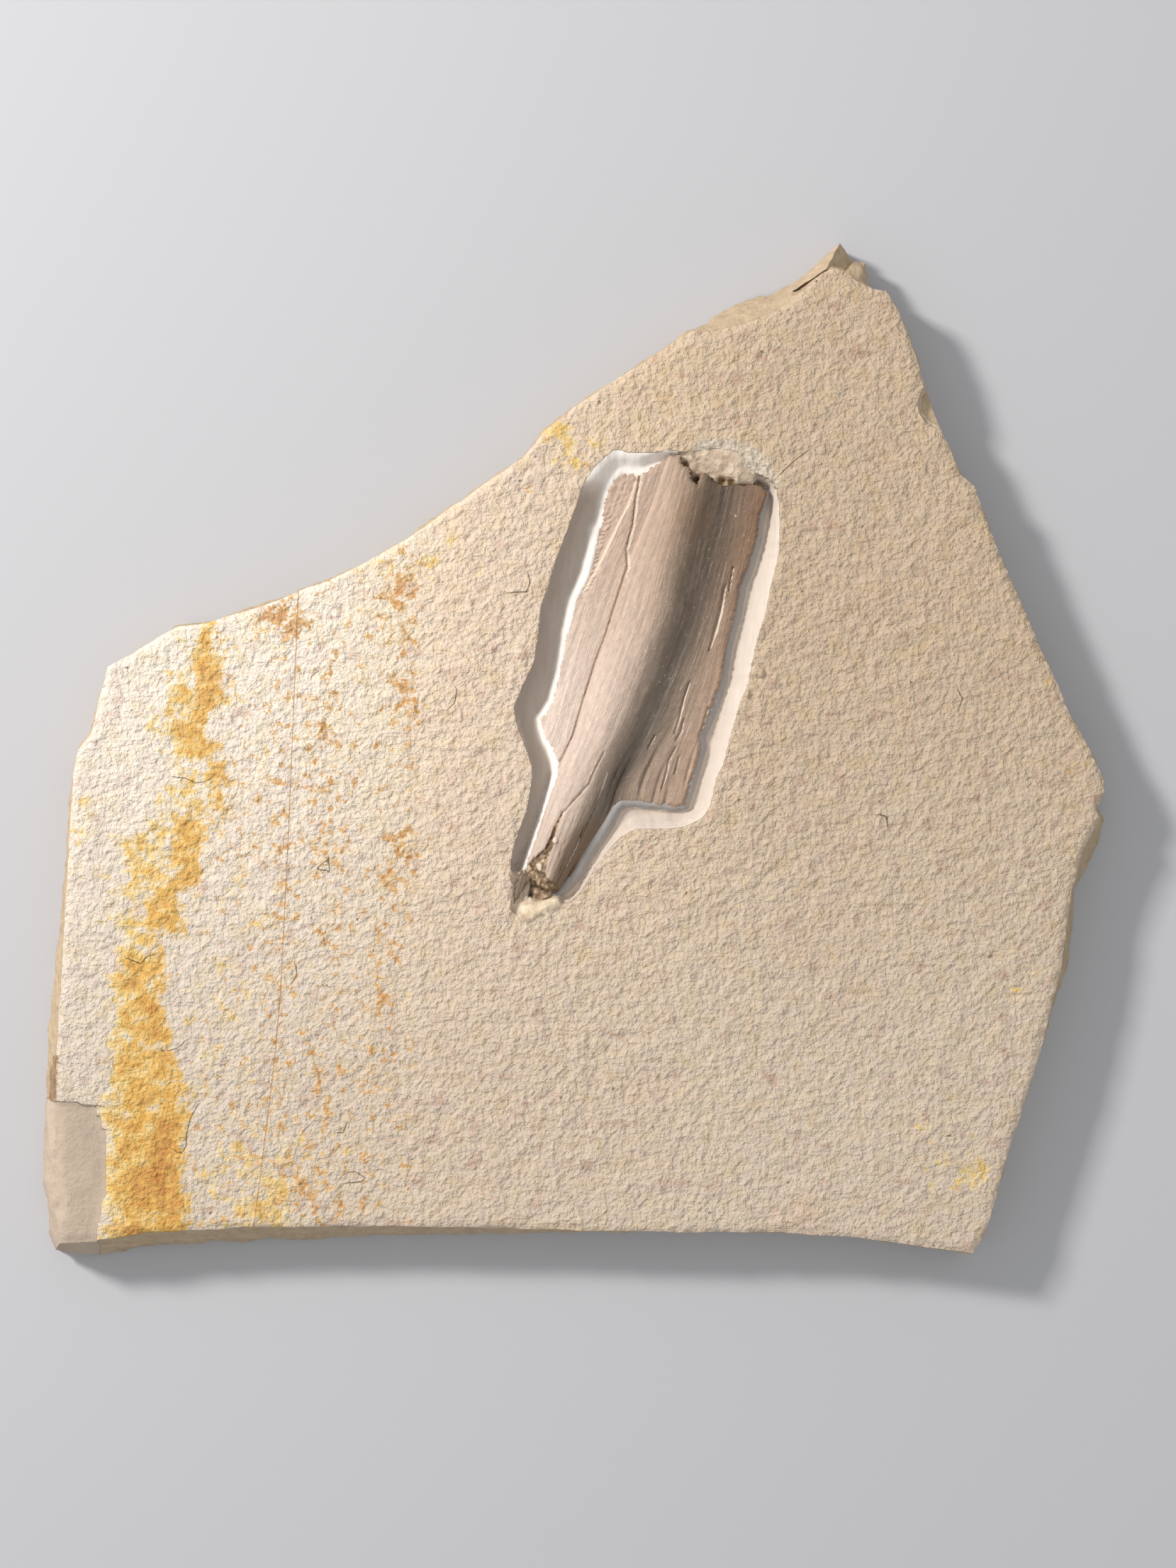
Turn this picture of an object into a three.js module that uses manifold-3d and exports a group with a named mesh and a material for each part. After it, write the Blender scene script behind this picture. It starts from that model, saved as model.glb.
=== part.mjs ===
// A turtle's costal plate, fossilised in a slab of fine lithographic limestone.
//
// The slab lies on its flat back, with its face up. X runs to the right across the face, Y runs
// up the face, and Z is the height above the back. A groove was dug round the bone to free it,
// so the bone lies in a pit. The bone is broken: a long crack parts its left flange from the
// plate with the rib, and a splinter has come off the rib's lower end.
// All sizes are in millimetres.

import * as THREE from 'three';
import { mergeVertices } from 'three/addons/utils/BufferGeometryUtils.js';
import Module from 'manifold-3d';

const wasm = await Module();
wasm.setup();

// Driving sizes.
const SLAB_THICK = 18;
const PIT_DEPTH = 7;
const GAP = 0.3; // between pieces that touch
const PIT_FLOOR = SLAB_THICK - PIT_DEPTH;
const BONE_BASE = PIT_FLOOR + GAP;
const ABOVE_ALL = SLAB_THICK + 10; // a height clear above every surface, where cutters end

// Sizes of the facets.
const SLAB_EDGE_STEP = 9;
const SLAB_FACE_STEP = 6.6;
const PIT_EDGE_STEP = 5;
const BONE_STEP = 2.7;

// The slab's outline at its face, anticlockwise from the lower left corner: x, y, and how far the
// broken side spreads outwards by the time it reaches the back.
const SLAB_OUTLINE = [
  // lower edge
  [-145, -139, 6.5], [-133, -138.2, 6.5], [-122, -136.4, 6.5], [-90, -134.8, 6], [-52, -134.4, 5],
  [-12, -135.4, 3], [28, -136.2, 1], [58, -136.4, 1], [78, -137.6, 1], [98, -140.4, 1],
  [112.6, -142.4, 1],
  // right edge, up to the bulge
  [116.4, -135.8, 1], [119.2, -125.8, 1], [124, -108.8, 1], [127.8, -97.4, 1], [131.6, -85.2, 1],
  [134.6, -72.2, 2.5], [137.4, -62.2, 4], [139.2, -48.6, 3.5], [140.2, -39.8, 3],
  [143.4, -29.4, 5], [146, -23.8, 5], [148.4, -19.8, 3.5], [147.4, -17, 2], [149.6, -12, 1],
  [149.4, -8.8, 1],
  // right edge, up to the peak
  [148.4, -6.6, 1], [144.8, 1.2, 1], [139.6, 10.6, 1], [135, 21.2, 1], [130, 32.6, 1],
  [125.4, 42.6, 1], [121, 53.2, 1], [115.4, 67, 1], [112.8, 74.4, 1], [109, 77.8, 1],
  [106.8, 83, 1], [103.4, 90.6, 1], [99.2, 101.4, 1], [96.6, 111, 1], [94, 117.8, 1],
  [91.8, 123.2, 1], [88, 129.4, 1], [84.2, 130, 3], [79.4, 132.4, 7], [75.6, 135.4, 8],
  [73, 135.8, 9],
  // slanting facet below the peak
  [70.2, 134.4, 8], [65.8, 130.2, 8], [58.6, 124.4, 9], [48.4, 120, 9], [39.6, 117.8, 6],
  [33, 118, 2],
  // long upper left edge
  [21.2, 110.2, 1], [11.2, 104.2, 1], [-0.2, 96.4, 1], [-8.6, 89.8, 1], [-14, 82.8, 1],
  [-24, 75.8, 1], [-35.4, 67.8, 1], [-47.4, 59.2, 1], [-59, 52.6, 1], [-69.8, 47.6, 1],
  [-79.2, 43.8, 1], [-92.8, 38.8, 1], [-105, 35.4, 1], [-112.2, 34.4, 1], [-117.6, 31.6, 1],
  [-124.6, 27, 1], [-131.8, 23.2, 1],
  // left edge
  [-134.4, 12, 2], [-136.6, 4, 2], [-140, -0.2, 2], [-141.4, -7.2, 2], [-142, -17, 2.5],
  [-143.2, -39.2, 3.5], [-144.2, -56.4, 4], [-145.4, -74, 5], [-146.4, -94, 5],
  [-146.2, -108, 6], [-146, -124, 7.5], [-145.6, -133, 5],
];

// How the slab's side runs from the back to above the face: height, how much of the spread it
// has there, and how rough it is. The last two rings ease the edge of the face.
const SLAB_SIDE = [
  { height: 0, spread: 1, rough: 0.4 },
  { height: 4.5, spread: 0.9, rough: 0.9 },
  { height: 9.5, spread: 0.62, rough: 0.8 },
  { height: 14, spread: 0.3, rough: 0.7 },
  { height: 17.2, spread: 0, rough: 0.4 },
  { height: 20, spread: 0, rough: 0.4, inset: 1.8 },
];

// The rim of the pit, anticlockwise from the upper left: x, y, and the width of the sloping wall.
const PIT_RIM = [
  // left side, down to the rib's end
  [11.4, 84.6, 5.2], [6.4, 80.4, 5], [3, 75.6, 5.4], [1.2, 70, 6], [-1.4, 62.8, 6],
  [-4.2, 55.6, 6.6], [-7, 47, 7], [-9.4, 39.8, 7], [-9.8, 33.8, 6.8], [-11.2, 24.6, 6.6],
  [-14.2, 18.4, 7], [-17, 11.8, 7], [-16, 6.8, 6.4], [-13.4, 0.2, 5.8], [-11.6, -5.6, 5.6],
  [-12.2, -12, 5], [-13.6, -18.4, 4.4], [-15.4, -22.6, 4.2], [-17.2, -28.2, 3.4],
  [-18, -34, 1.8],
  // round the rib's broken end
  [-18.4, -38.6, 1.2], [-18.8, -45.4, 1], [-15, -46.6, 1], [-9, -44.8, 1], [-4.4, -43.6, 1],
  // right side of the rib
  [-1.2, -43.2, 1.4], [2.4, -40.2, 1.8], [5.8, -34.4, 2], [10.2, -28.2, 1.8],
  [13.4, -24.6, 2.4],
  // under the right flange and up its side
  [17.2, -22.4, 3.6], [25.4, -22.4, 4.6], [30.6, -22, 4], [36, -19.6, 3.6], [38.4, -16, 3.8],
  [40.2, -7.8, 3.8], [42.2, -4, 4.4], [44, 3.6, 4.6], [47, 13.8, 5], [49, 18, 5.6],
  [49.8, 22.6, 5.4], [51.8, 31.8, 5.2], [54, 38.4, 6], [55.4, 46, 5.4], [57.6, 54.2, 5],
  [58, 63.8, 3], [57.6, 71.4, 1.8], [56.2, 76.8, 1.8],
  // broken stone over the top of the bone
  [51, 81.4, 3.2], [46, 83.4, 4.6], [38.6, 84, 3.4], [32, 84.4, 1], [27, 84.4, 0.8],
  [22, 83.6, 2.6], [16, 83.6, 4.2],
];

// How the pit's wall runs down from above the rim to the floor: height, and how much of the
// wall's width has been crossed there.
const PIT_WALL = [
  { height: PIT_FLOOR, crossed: 1 },
  { height: PIT_FLOOR + 0.8, crossed: 0.9 },
  { height: PIT_FLOOR + 3, crossed: 0.6 },
  { height: PIT_FLOOR + 5.4, crossed: 0.22 },
  { height: SLAB_THICK, crossed: 0 },
  { height: SLAB_THICK + 3, crossed: -0.3 },
];

// The long crack down the bone's left side, from its top to where it runs out at the margin.
const CRACK = [
  [18.5, 77.4], [17.4, 71.6], [16.4, 63.8], [14.6, 56.6], [14.9, 51.4], [13.4, 47],
  [11, 39.8], [9, 33.2], [6, 25.2], [2.4, 13.8], [-0.4, 4.2], [-4.2, -3.6],
];

// The left flange's own edge, from its top down its left margin to the crack's lower end.
const FLANGE_EDGE = [
  [17.2, 77.8], [14.6, 78.8], [12.6, 78.6], [10.6, 76.2], [8.8, 70.6], [7.6, 64.4],
  [6.2, 62.4], [5, 56], [3.4, 49.6], [1.8, 46], [-0.2, 42.4], [-1.4, 35.8], [-2.4, 32.2],
  [-3.4, 25.6], [-4.6, 19.6], [-6, 13.4], [-7.8, 10.8], [-9.6, 8.8], [-9, 6.2], [-7.8, 3.2],
  [-6, 0.2], [-5, -3],
];

// The plate's own edge, anticlockwise from the crack's lower end: round the rib's broken end,
// along the right flange, and back across the broken top.
const PLATE_EDGE = [
  // left side of the rib
  [-4.8, -7], [-8.2, -16.4], [-11.4, -25.8], [-14.8, -34.8],
  // broken end
  [-13.2, -36], [-9.8, -39.2], [-7.8, -41], [-4.6, -41.6],
  // right side of the rib
  [-2.4, -38.8], [0.8, -34.8], [3.2, -29.8], [6.6, -24.8], [9.4, -21], [11.8, -16.8],
  // lower edge of the right flange
  [13.6, -15.4], [16.8, -15.2], [22.4, -15.8], [28.6, -16.4], [31.2, -16],
  // right edge of the right flange
  [33.2, -9], [35.8, 0.2], [35.6, 3.6], [39.2, 12.8], [41.6, 19], [43.2, 29.2], [45.6, 38.4],
  [47, 46.4], [49.4, 52.2], [51.6, 60], [52.4, 65.8], [54.4, 72], [54, 74.6],
  // broken top
  [49.8, 75], [46.2, 75.6], [41, 75.2], [38.2, 77.8], [36, 78.4], [34.4, 75.4], [33, 78.8],
  [30, 79.8], [29.8, 83], [28.2, 83.2], [26.2, 81.4], [22.2, 79.4], [19.4, 77.8],
];

// The splinter beside the rib's lower end.
const SPLINTER_EDGE = [
  [-15.2, -35.6], [-15.8, -38.4], [-17, -42.2], [-17.8, -45], [-15.8, -43.8], [-14.4, -40.6],
  [-13.8, -36.8],
];

// The bone's relief follows four lines down its length: x, y and height.
const FOOT_LINE = [
  [26.2, 80, 15.4], [22.8, 70, 15.2], [18.8, 60.8, 15], [15.4, 52.6, 14.9], [11, 39.8, 14.8],
  [6, 25.2, 14.7], [2.4, 13.8, 14.6], [-2, 0, 14.3], [-4.6, -5, 14], [-14.8, -35, 13.4],
  [-17, -42, 13.2],
];
const CREST_LINE = [
  [33, 80, 18.3], [31.6, 73, 18.6], [29, 62, 18.8], [23.4, 38, 18.8], [12.4, 9, 18.6],
  [4, -9.6, 18.2], [-1.8, -23.4, 17.8], [-7, -36.6, 17.4], [-8.6, -42, 17.2],
];
const VALLEY_LINE = [
  [45, 80, 14.8], [41.6, 63.8, 14.1], [35, 36.4, 13.6], [23.6, 8.8, 13.4], [12.8, -9.6, 13.1],
  [11.4, -17.6, 12.8], [6.6, -24.8, 12.8], [0.8, -34.8, 12.8], [-3.6, -41.6, 12.8],
];
const MARGIN_LINE = [
  [54.4, 77, 15.4], [52, 62, 14.6], [43, 29, 14.2], [35.6, 2, 14], [31, -16, 13.8],
];
const FLANGE_WIDTH = 14;
const FLANGE_DROP = 1.6; // the left flange slopes down this much to its margin
const FLANGE_STEP = 0.7; // and lies this much below the plate at the crack

// Damage at the slab's edges.
const SPALL_OUTLINE = [
  [-160, -99], [-160, -145], [-135.4, -145], [-134, -132], [-132.2, -124], [-132.4, -108.2],
  [-135.4, -100.6], [-146, -99.4],
];
const SPALL_DEPTH = 1;
const NOTCH = { x: 102.6, y: 97.4, across: 6, along: 7.4, deep: 9 };
const CORNER_CHIPS = [
  { x: -147, y: -117, z: 13, size: 18, tiltX: 0.1, tiltY: -0.95 },
  { x: -147.4, y: -130, z: 12, size: 17, tiltX: -0.18, tiltY: -1.05 },
];

// Lumps of stone left standing at the two ends of the bone: x, y, z, and half sizes.
const MATRIX_LUMPS = [
  { x: -11, y: -47, z: 17.2, sizes: [7, 2.2, 2], turn: 0.5 },
  { x: 50.5, y: 83.5, z: 17.6, sizes: [3.4, 2.4, 1.5], turn: -0.7 },
  { x: 40, y: 85.6, z: 17.8, sizes: [4.6, 1.9, 1.3], turn: 0.1 },
];

// Smooth, repeatable unevenness from -1 to 1, with bumps about `scale` across.
function uneven(x, y, z, scale) {
  const first = Math.sin((1.9 * x) / scale + 1.3 * Math.sin((1.3 * y) / scale + 0.7));
  const second = Math.sin((2.3 * y) / scale + 1.1 * Math.sin((1.7 * z + 0.9 * x) / scale));
  return (first + second) / 2;
}

// The same outline with its long edges cut into steps, each point a THREE.Vector3 whose z keeps
// the third number of its row.
function inSteps(outline, step) {
  const points = [];
  outline.forEach((row, index) => {
    const start = new THREE.Vector3(...row);
    const end = new THREE.Vector3(...outline[(index + 1) % outline.length]);
    const pieces = Math.ceil(Math.hypot(end.x - start.x, end.y - start.y) / step);
    for (let piece = 0; piece < pieces; piece += 1) {
      points.push(start.clone().lerp(end, piece / pieces));
    }
  });
  return points;
}

// The direction out of an anticlockwise outline at one of its points.
function outwards(points, index) {
  const before = points[(index + points.length - 1) % points.length];
  const after = points[(index + 1) % points.length];
  return new THREE.Vector3(after.y - before.y, before.x - after.x, 0).normalize();
}

// A closed solid whose walls run through rings of points, from the lowest ring up.
function ringSolid(rings) {
  const count = rings[0].length;
  const faces = [];
  for (let level = 0; level + 1 < rings.length; level += 1) {
    for (let index = 0; index < count; index += 1) {
      const low = level * count + index;
      const lowNext = level * count + ((index + 1) % count);
      faces.push(low, lowNext, lowNext + count);
      faces.push(low, lowNext + count, low + count);
    }
  }
  const top = (rings.length - 1) * count;
  for (const [a, b, c] of THREE.ShapeUtils.triangulateShape(rings[0], [])) {
    faces.push(c, b, a);
  }
  for (const [a, b, c] of THREE.ShapeUtils.triangulateShape(rings.at(-1), [])) {
    faces.push(top + a, top + b, top + c);
  }
  const positions = rings.flat().flatMap((point) => point.toArray());
  const geometry = new THREE.BufferGeometry();
  geometry.setAttribute('position', new THREE.Float32BufferAttribute(positions, 3));
  geometry.setIndex(faces);
  return solidOf(geometry);
}

// A straight-sided solid over an outline, grown outwards by `grow`.
function prism(outline, low, high, grow = 0) {
  const corners = outline.map(([x, y]) => new THREE.Vector3(x, y, 0));
  const ringAt = (height) => corners.map((corner, index) => {
    const point = corner.clone().addScaledVector(outwards(corners, index), grow);
    return point.setZ(height);
  });
  return ringSolid([ringAt(low), ringAt(high)]);
}

// A closed geometry as a solid that can be joined and cut.
function solidOf(geometry) {
  geometry.deleteAttribute('normal');
  geometry.deleteAttribute('uv');
  const closed = mergeVertices(geometry);
  const vertProperties = new Float32Array(closed.attributes.position.array);
  const triVerts = new Uint32Array(closed.index.array);
  return new wasm.Manifold(new wasm.Mesh({ numProp: 3, vertProperties, triVerts }));
}

// A block that lies over everything above a surface: taking it away leaves the surface
// z = height(x, y). The columns of its facets can lean, to run along the bone.
function cover({ x, y, width, length, step, lean = 0 }, height) {
  const columns = Math.round(width / step);
  const rows = Math.round(length / step);
  const block = new THREE.BoxGeometry(width, length, 1, columns, rows, 1);
  const corners = block.attributes.position;
  for (let index = 0; index < corners.count; index += 1) {
    const down = corners.getZ(index) < 0;
    const cornerY = y + corners.getY(index);
    const cornerX = x + corners.getX(index) + lean * (cornerY - y);
    corners.setXYZ(index, cornerX, cornerY, down ? height(cornerX, cornerY) : ABOVE_ALL);
  }
  return solidOf(block);
}

// The point of a line of x, y, height rows at a given y.
function pointAt(line, y) {
  const rows = [...line].sort((a, b) => a[1] - b[1]);
  const above = Math.max(1, rows.findIndex((row) => row[1] > y));
  const index = y > rows.at(-1)[1] ? rows.length - 1 : above;
  const start = new THREE.Vector3(...rows[index - 1]);
  const end = new THREE.Vector3(...rows[index]);
  return start.lerp(end, THREE.MathUtils.clamp((y - start.y) / (end.y - start.y), 0, 1));
}

// The face of the slab: nearly flat, with low swells.
function faceHeight(x, y) {
  return SLAB_THICK + 0.35 * uneven(x, y, 0, 46) + 0.25 * uneven(y, x, 5, 17);
}

// The bone's surface: up from the rib's foot to its crest, down to the valley, and out over the
// right flange. Left of the foot, a low strip runs out to the crack.
function plateHeight(x, y) {
  const foot = pointAt(FOOT_LINE, y);
  const crest = pointAt(CREST_LINE, y);
  const valley = pointAt(VALLEY_LINE, y);
  const margin = pointAt(MARGIN_LINE, y);
  if (x < crest.x) {
    const up = THREE.MathUtils.clamp((x - foot.x) / (crest.x - foot.x), 0, 1);
    return foot.z + (crest.z - foot.z) * Math.sin((up * Math.PI) / 2);
  }
  if (x < valley.x) {
    const down = (x - crest.x) / (valley.x - crest.x);
    return valley.z + ((crest.z - valley.z) * (1 + Math.cos(down * Math.PI))) / 2;
  }
  const along = THREE.MathUtils.clamp((x - valley.x) / (margin.x - valley.x), 0, 1);
  return THREE.MathUtils.lerp(valley.z, margin.z, along);
}

// The left flange slopes down from the crack to its margin.
function flangeHeight(x, y) {
  const foot = pointAt(FOOT_LINE, y);
  const away = THREE.MathUtils.clamp((foot.x - x) / FLANGE_WIDTH, 0, 1);
  return foot.z - FLANGE_STEP - FLANGE_DROP * away + 0.2 * uneven(x, y, 0, 6);
}

function splinterHeight(x, y) {
  return 16.4 + 0.12 * (y + 40) + 0.4 * (x + 16);
}

// The broken sides of the slab, from its back to above its face.
function slabBody() {
  const outline = inSteps(SLAB_OUTLINE, SLAB_EDGE_STEP);
  const rings = SLAB_SIDE.map(({ height, spread, rough, inset = 0 }) => (
    outline.map((point, index) => {
      const bump = rough * uneven(point.x, point.y, 3 * height, 7);
      const out = point.z * spread - inset + bump;
      return point.clone().setZ(height).addScaledVector(outwards(outline, index), out);
    })
  ));
  return ringSolid(rings);
}

// The pit: everything between its sloping wall, its floor and the air above.
function pitCutter() {
  const rim = inSteps(PIT_RIM, PIT_EDGE_STEP);
  const rings = PIT_WALL.map(({ height, crossed }) => (
    rim.map((point, index) => (
      point.clone().setZ(height).addScaledVector(outwards(rim, index), -crossed * point.z)
    ))
  ));
  return ringSolid(rings);
}

// A shell-shaped scoop out of the slab's right edge.
function notchCutter() {
  const scoop = new THREE.SphereGeometry(1, 14, 10);
  scoop.scale(NOTCH.across, NOTCH.along, NOTCH.deep);
  scoop.rotateZ(0.35);
  scoop.translate(NOTCH.x, NOTCH.y, SLAB_THICK);
  return solidOf(scoop);
}

// A flat chip off a corner: a block whose underside is the chip's scar.
function chipCutter({ x, y, z, size, tiltX, tiltY }) {
  const block = new THREE.BoxGeometry(size, size, size);
  block.translate(0, 0, size / 2);
  block.rotateX(tiltX);
  block.rotateY(tiltY);
  block.translate(x, y, z);
  return solidOf(block);
}

// A lump of stone: an uneven ball, set into the face.
function lump({ x, y, z, sizes, turn }) {
  const ball = new THREE.IcosahedronGeometry(1, 1);
  const corners = ball.attributes.position;
  for (let index = 0; index < corners.count; index += 1) {
    const corner = new THREE.Vector3().fromBufferAttribute(corners, index);
    corner.multiplyScalar(1 + 0.16 * uneven(corner.x, corner.y, corner.z + x, 0.5));
    corners.setXYZ(index, corner.x, corner.y, corner.z);
  }
  ball.scale(...sizes);
  ball.rotateZ(turn);
  ball.translate(x, y, z);
  return solidOf(ball);
}

// The crack's line, moved half a gap to one side.
function crackSide(side) {
  return CRACK.map(([x, y]) => [x + side * 0.55 * GAP, y]);
}

const flangeOutline = [...FLANGE_EDGE, ...crackSide(-1).reverse()];
const plateOutline = [...crackSide(1), ...PLATE_EDGE];
const boneCover = { x: 18, y: 20, width: 90, length: 144, step: BONE_STEP, lean: 0.3 };

function limestoneSlab() {
  const face = { x: -3, y: 0, width: 330, length: 310, step: SLAB_FACE_STEP };
  const cutters = [
    cover(face, faceHeight),
    pitCutter(),
    prism(flangeOutline, PIT_FLOOR, ABOVE_ALL, GAP),
    prism(plateOutline, PIT_FLOOR, ABOVE_ALL, GAP),
    prism(SPALL_OUTLINE, SLAB_THICK - SPALL_DEPTH, ABOVE_ALL),
    notchCutter(),
    ...CORNER_CHIPS.map(chipCutter),
  ];
  const cut = cutters.reduce((solid, cutter) => solid.subtract(cutter), slabBody());
  return MATRIX_LUMPS.map(lump).reduce((solid, stone) => solid.add(stone), cut);
}

function costalPlate() {
  return prism(plateOutline, BONE_BASE, ABOVE_ALL - 1).subtract(cover(boneCover, plateHeight));
}

function leftFlange() {
  return prism(flangeOutline, BONE_BASE, ABOVE_ALL - 1).subtract(cover(boneCover, flangeHeight));
}

function ribSplinter() {
  const outline = prism(SPLINTER_EDGE, BONE_BASE, ABOVE_ALL - 1);
  return outline.subtract(cover(boneCover, splinterHeight));
}

// A named mesh of a solid.
function meshOf(name, solid, material) {
  const { vertProperties, triVerts } = solid.getMesh();
  const geometry = new THREE.BufferGeometry();
  geometry.setAttribute('position', new THREE.BufferAttribute(vertProperties, 3));
  geometry.setIndex(new THREE.BufferAttribute(triVerts, 1));
  geometry.computeVertexNormals();
  const mesh = new THREE.Mesh(geometry, material);
  mesh.name = name;
  return mesh;
}

const limestone = new THREE.MeshStandardMaterial({ color: 0xd5c3a6, roughness: 0.95 });
const bone = new THREE.MeshStandardMaterial({ color: 0xa48c7c, roughness: 0.75 });

const pieces = new THREE.Group();
pieces.add(meshOf('limestone_slab', limestoneSlab(), limestone));
pieces.add(meshOf('costal_plate', costalPlate(), bone));
pieces.add(meshOf('left_flange', leftFlange(), bone));
pieces.add(meshOf('rib_splinter', ribSplinter(), bone));

// The origin is on the back, under the middle of the slab's box.
const middle = new THREE.Box3().setFromObject(pieces).getCenter(new THREE.Vector3());
pieces.position.set(-middle.x, -middle.y, 0);

const fossil = new THREE.Group();
fossil.add(pieces);

export default fossil;
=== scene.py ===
import functools
import math

import bmesh
import bpy
from mathutils import Matrix, Vector, kdtree, noise


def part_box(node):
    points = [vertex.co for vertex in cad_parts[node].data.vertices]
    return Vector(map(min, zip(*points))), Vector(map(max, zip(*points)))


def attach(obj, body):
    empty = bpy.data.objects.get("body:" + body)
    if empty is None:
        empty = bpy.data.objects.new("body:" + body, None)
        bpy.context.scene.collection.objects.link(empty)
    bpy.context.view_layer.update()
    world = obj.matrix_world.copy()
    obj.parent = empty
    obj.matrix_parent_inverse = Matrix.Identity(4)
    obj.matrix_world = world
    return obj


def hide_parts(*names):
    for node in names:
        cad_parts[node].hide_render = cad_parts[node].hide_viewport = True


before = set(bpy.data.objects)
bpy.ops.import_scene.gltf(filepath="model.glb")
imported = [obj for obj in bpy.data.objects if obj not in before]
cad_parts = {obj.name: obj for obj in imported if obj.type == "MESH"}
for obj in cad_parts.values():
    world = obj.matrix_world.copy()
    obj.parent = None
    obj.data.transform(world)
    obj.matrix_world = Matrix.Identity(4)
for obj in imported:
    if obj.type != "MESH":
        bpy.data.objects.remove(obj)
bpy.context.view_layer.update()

# Vector noise takes its seed from the clock unless it is given one, so it is given one here.
noise.seed_set(7)

# ---------------------------------------------------------------------------------------------
# Camera, floor and lamps.
# The slab lies on its back on a plain pale floor, so the camera hangs over it and looks straight
# down, a long lens keeping the sides in proportion. One soft lamp rakes the face from the left.

MM = 0.001
FACE_LEFT = -153.26  # where the slab's box starts on the axes that the face is measured on, mm
FACE_LOW = -144.98
VIEW_CENTRE = (3.9, -9.8)  # mm on the face
VIEW_TALL = 442.4  # mm of the face's plane from the picture's top to its foot
LENS = 70
SENSOR = 36
SLAB_THICK = 18.0

slab_box_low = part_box("limestone_slab")[0]
face_to_frame = Matrix.Translation(
    (slab_box_low.x - FACE_LEFT * MM, slab_box_low.y - FACE_LOW * MM, 0)
) @ Matrix.Scale(MM, 4)

camera = bpy.data.objects.new("overhead_camera", bpy.data.cameras.new("overhead_camera"))
bpy.context.collection.objects.link(camera)
camera.data.lens = LENS
camera.data.sensor_width = SENSOR
view_height = SLAB_THICK + VIEW_TALL * LENS / SENSOR
camera.location = face_to_frame @ Vector((*VIEW_CENTRE, view_height))
bpy.context.scene.camera = camera


def linear(hex_colour):
    """An sRGB hex colour as linear RGBA."""
    channels = [int(hex_colour[start:start + 2], 16) / 255 for start in (1, 3, 5)]
    return (*[c / 12.92 if c <= 0.04045 else ((c + 0.055) / 1.055) ** 2.4 for c in channels], 1)


def add_node(tree, kind, settings=(), links=()):
    """Adds a shader node. Settings are its own or its sockets' values, and a colour ramp's stops;
    links are the nodes or sockets that feed its sockets."""
    node = tree.nodes.new("ShaderNode" + kind)
    for name, value in dict(settings).items():
        if name == "stops":
            shades = node.color_ramp.elements
            shades.remove(shades[1])
            shades[0].position, shades[0].color = value[0][0], linear(value[0][1])
            for place, shade in value[1:]:
                shades.new(place).color = linear(shade)
        elif isinstance(name, int) or name in node.inputs:
            node.inputs[name].default_value = value
        else:
            setattr(node, name, value)
    for name, source in dict(links).items():
        if isinstance(source, bpy.types.Node):
            source = source.outputs[0]
        tree.links.new(source, node.inputs[name])
    return node


def start_material(name):
    """A material with an empty Principled shader: the material, its tree and the shader."""
    material = bpy.data.materials.new(name)
    material.use_nodes = True
    return material, material.node_tree, material.node_tree.nodes["Principled BSDF"]


def object_from(bm, name):
    """Moves a bmesh built in face millimetres into the frame, as an object of that name."""
    bmesh.ops.transform(bm, matrix=face_to_frame, verts=bm.verts)
    mesh = bpy.data.meshes.new(name)
    bm.to_mesh(mesh)
    bm.free()
    made = bpy.data.objects.new(name, mesh)
    bpy.context.collection.objects.link(made)
    return made


FLOOR_HALF = 2500
floor_mesh = bmesh.new()
bmesh.ops.create_grid(floor_mesh, x_segments=2, y_segments=2, size=FLOOR_HALF)
floor = object_from(floor_mesh, "studio_floor")
floor_paint, _, floor_shader = start_material("matt_floor_paint")
floor_shader.inputs["Base Color"].default_value = linear("#c3c6cd")
floor_shader.inputs["Roughness"].default_value = 0.9
floor.data.materials.append(floor_paint)


def add_lamp(name, power, size, place, colour):
    """A square soft lamp, its place in metres from the middle of the slab, aimed at the slab."""
    lamp = bpy.data.objects.new(name, bpy.data.lights.new(name, "AREA"))
    bpy.context.collection.objects.link(lamp)
    lamp.data.energy = power
    lamp.data.size = size
    lamp.data.color = linear(colour)[:3]
    lamp.location = place
    lamp.rotation_euler = (-Vector(place)).to_track_quat("-Z", "Y").to_euler()


add_lamp("raking_lamp", power=21, size=0.22, place=(-1.01, 0.66, 0.85), colour="#fff8f0")
add_lamp("overhead_fill", power=3, size=1.6, place=(0.6, 0.1, 1.9), colour="#f7f6f4")

world = bpy.data.worlds.new("studio_air")
world.use_nodes = True
world.node_tree.nodes["Background"].inputs["Color"].default_value = linear("#f0eeeb")
world.node_tree.nodes["Background"].inputs["Strength"].default_value = 0.56
bpy.context.scene.world = world
bpy.context.scene.view_settings.view_transform = "Standard"

# ---------------------------------------------------------------------------------------------
# The limestone slab.
# A split plate of lithographic limestone, with its natural dimpled face, hackly broken sides and
# a pit dug round the bone. A fine sheet is raised to the shape of the face and the pit, then
# kept only inside the broken sides, where two angular blocks stand out at the peak; then a
# shell-shaped chip is scooped out of its edge.

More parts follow.
